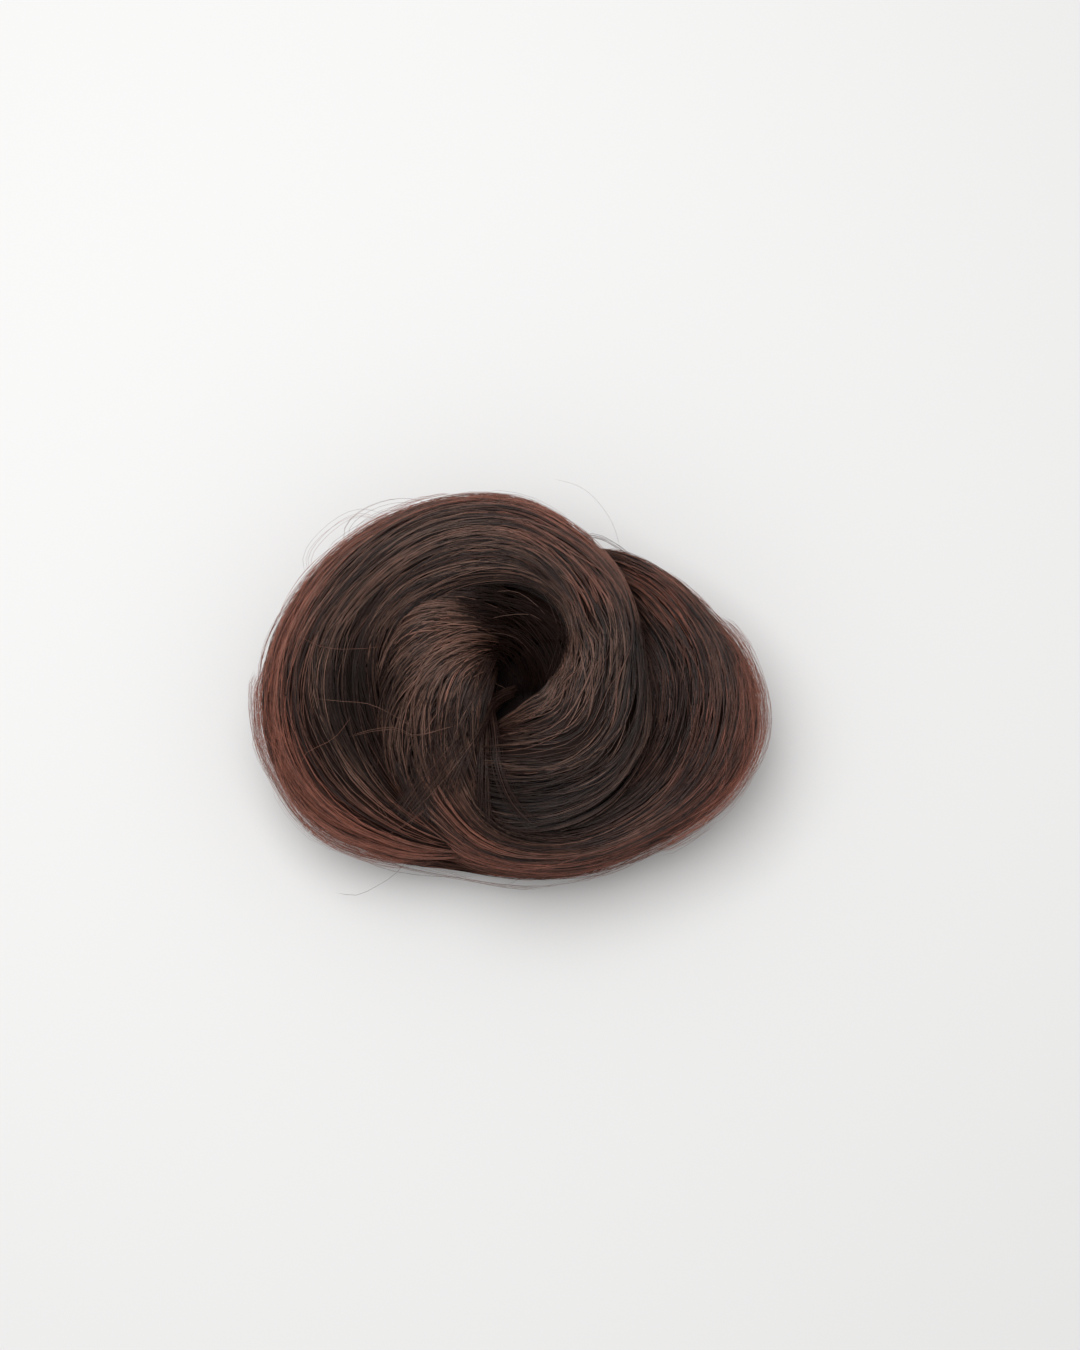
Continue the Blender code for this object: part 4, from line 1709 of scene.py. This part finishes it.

# Thin arcs over the hollow, and single hairs over the knot and beside it: their light tones are painted
# highlights, and beside the knot partly lighter tips and partly painted glow of light through the hairs
STRAY_GUIDES = (
    Guide(((-10, 6), (-4, 8), (2, 7), (6, 3)), heights=(39, 37, 36, 32), radius=0.04, tone=0.8, red=0.0),
    Guide(((-5, 11), (0, 12), (5, 12), (8, 10)), heights=(36, 38, 38, 36), radius=0.04, tone=0.8, red=0.0),
    Guide(((-4, 17), (1, 17), (5, 15), (9, 11)), heights=(37, 39, 39, 38), radius=0.04, tone=0.8, red=0.0),
    Guide(
        ((4, 21), (8, 17), (11, 10), (11, 5), (8, -3)),
        strands=3,
        heights=(42, 41, 40, 39, 36),
        radius=0.04,
        tone=0.5,
    ),
    Guide(((-9, -1), (-5, -2), (0, -4)), heights=(42, 38, 33), radius=0.04, tone=0.7, red=0.0),
    Guide(((-50, 11), (-41, 5), (-32, 4), (-26, 5)), lift=2.2, radius=0.04, tone=1.0, red=0.5),
    Guide(
        ((-43, -6), (-36, -7), (-30, -8), (-23, -12), (-18, -16)),
        lift=2.4,
        radius=0.04,
        tone=1.0,
        red=0.3,
    ),
    Guide(((-46, -22), (-45, -18), (-38, -15), (-34, -10)), lift=2.4, radius=0.05, tone=1.0, red=0.6),
    Guide(((-35, -14), (-30, -13), (-24, -13), (-20, -15), (-11, -13)), 2, lift=2.2, radius=0.04, tone=1.0),
    Guide(((-35, -38), (-25, -34), (-19, -31), (-15, -28)), 2, 0.4, lift=2.0, radius=0.04, tone=1.0, red=0.6),
    Guide(
        ((-29, -17), (-29, -25), (-27, -31), (-21, -36), (-14, -38)),
        strands=4,
        spread=0.8,
        lift=1.0,
        radius=0.05,
        tone=0.3,
    ),
    Guide(
        ((-40, -45), (-35, -46), (-31, -45), (-25, -42), (-20, -36)),
        lift=0.3,
        radius=0.04,
        tone=0.4,
        red=0.6,
    ),
    Guide(
        ((-44, 22), (-46, 29), (-42, 35), (-35, 39), (-28, 37)),
        strands=4,
        spread=1.2,
        heights=(20, 18, 17, 18, 22),
        radius=0.03,
        tone=1.0,
        red=0.8,
    ),
    Guide(
        ((-36, 29), (-36, 36), (-30, 41), (-22, 42), (-14, 37)),
        strands=4,
        spread=1.2,
        heights=(24, 20, 18, 19, 25),
        radius=0.03,
        tone=1.0,
        red=0.8,
    ),
    Guide(
        ((10, 50), (15, 47), (19, 43), (23, 36), (25, 28)),
        heights=(8, 14, 18, 22, 26),
        radius=0.03,
        tone=0.6,
    ),
    Guide(
        ((50, 11), (55, 6), (57, -1), (55, -10)),
        strands=2,
        spread=0.5,
        heights=(20, 16, 15, 18),
        radius=0.03,
        tone=0.8,
        red=0.8,
    ),
    Guide(
        ((14, 31), (19, 32), (24, 30), (28, 27)),
        strands=6,
        spread=0.6,
        heights=(28, 28, 27, 25),
        radius=0.04,
        tone=0.3,
        red=0.5,
    ),
)


def ground_tree(pieces: Iterable[bpy.types.Object]) -> BVHTree:
    """Search tree over the surfaces of several pieces, for hair that lies on them.

    Args:
        pieces: The pieces, each at the origin.

    Returns:
        The tree.
    """
    places: list[Vector] = []
    faces: list[tuple[int, ...]] = []
    for piece in pieces:
        start = len(places)
        places.extend(corner.co.copy() for corner in piece.data.vertices)
        faces.extend(tuple(start + index for index in face.vertices) for face in piece.data.polygons)
    return BVHTree.FromPolygons(places, faces)


def main() -> None:
    """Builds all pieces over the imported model, and the studio round them."""
    logging.basicConfig(level=logging.INFO, format="%(message)s")
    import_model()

    crown_form = HairForm(CROWN_SECTIONS)
    wrap_form = HairForm(WRAP_SECTIONS)
    base_form = CoilForm(BASE_SECTIONS, closed=True)
    crown = HairBody("crown_lock", Slot.CROWN, crown_form, 11, CROWN_COMBS, CROWN_PAINTED_LIGHT, BROWN)
    wrap = HairBody("wrap_lock", Slot.WRAP, wrap_form, 23, WRAP_COMBS, WRAP_PAINTED_LIGHT, WARM_BROWN)
    base = HairBody(
        "base_coil", Slot.BASE, base_form, 37, BASE_COMBS, BASE_PAINTED_SHADE, AUBURN, core_relief=0.15 * MM
    )
    pieces = crown.dress((wrap_form, base_form))
    pieces += wrap.dress((crown_form, base_form))
    pieces += base.dress((crown_form, wrap_form))
    ground = ground_tree(piece for piece in pieces if piece.name.endswith("_core"))
    pieces.append(LooseHair("pinch_wisps", Slot.WRAP, PINCH_GUIDES, BROWN, 41).build(ground))
    pieces.append(LooseHair("hollow_floor_hair", Slot.BASE, HOLLOW_GUIDES, AUBURN, 47).build(ground))
    pieces.append(LooseHair("stray_hairs", Slot.CROWN, STRAY_GUIDES, WARM_BROWN, 43).build(ground))
    pieces.append(ElasticBand().build())
    Studio().build()

    total = sum(len(piece.data.loops) - 2 * len(piece.data.polygons) for piece in pieces)
    LOG.info("%d pieces, %d triangles", len(pieces), total)


if __name__ == "__main__":
    main()
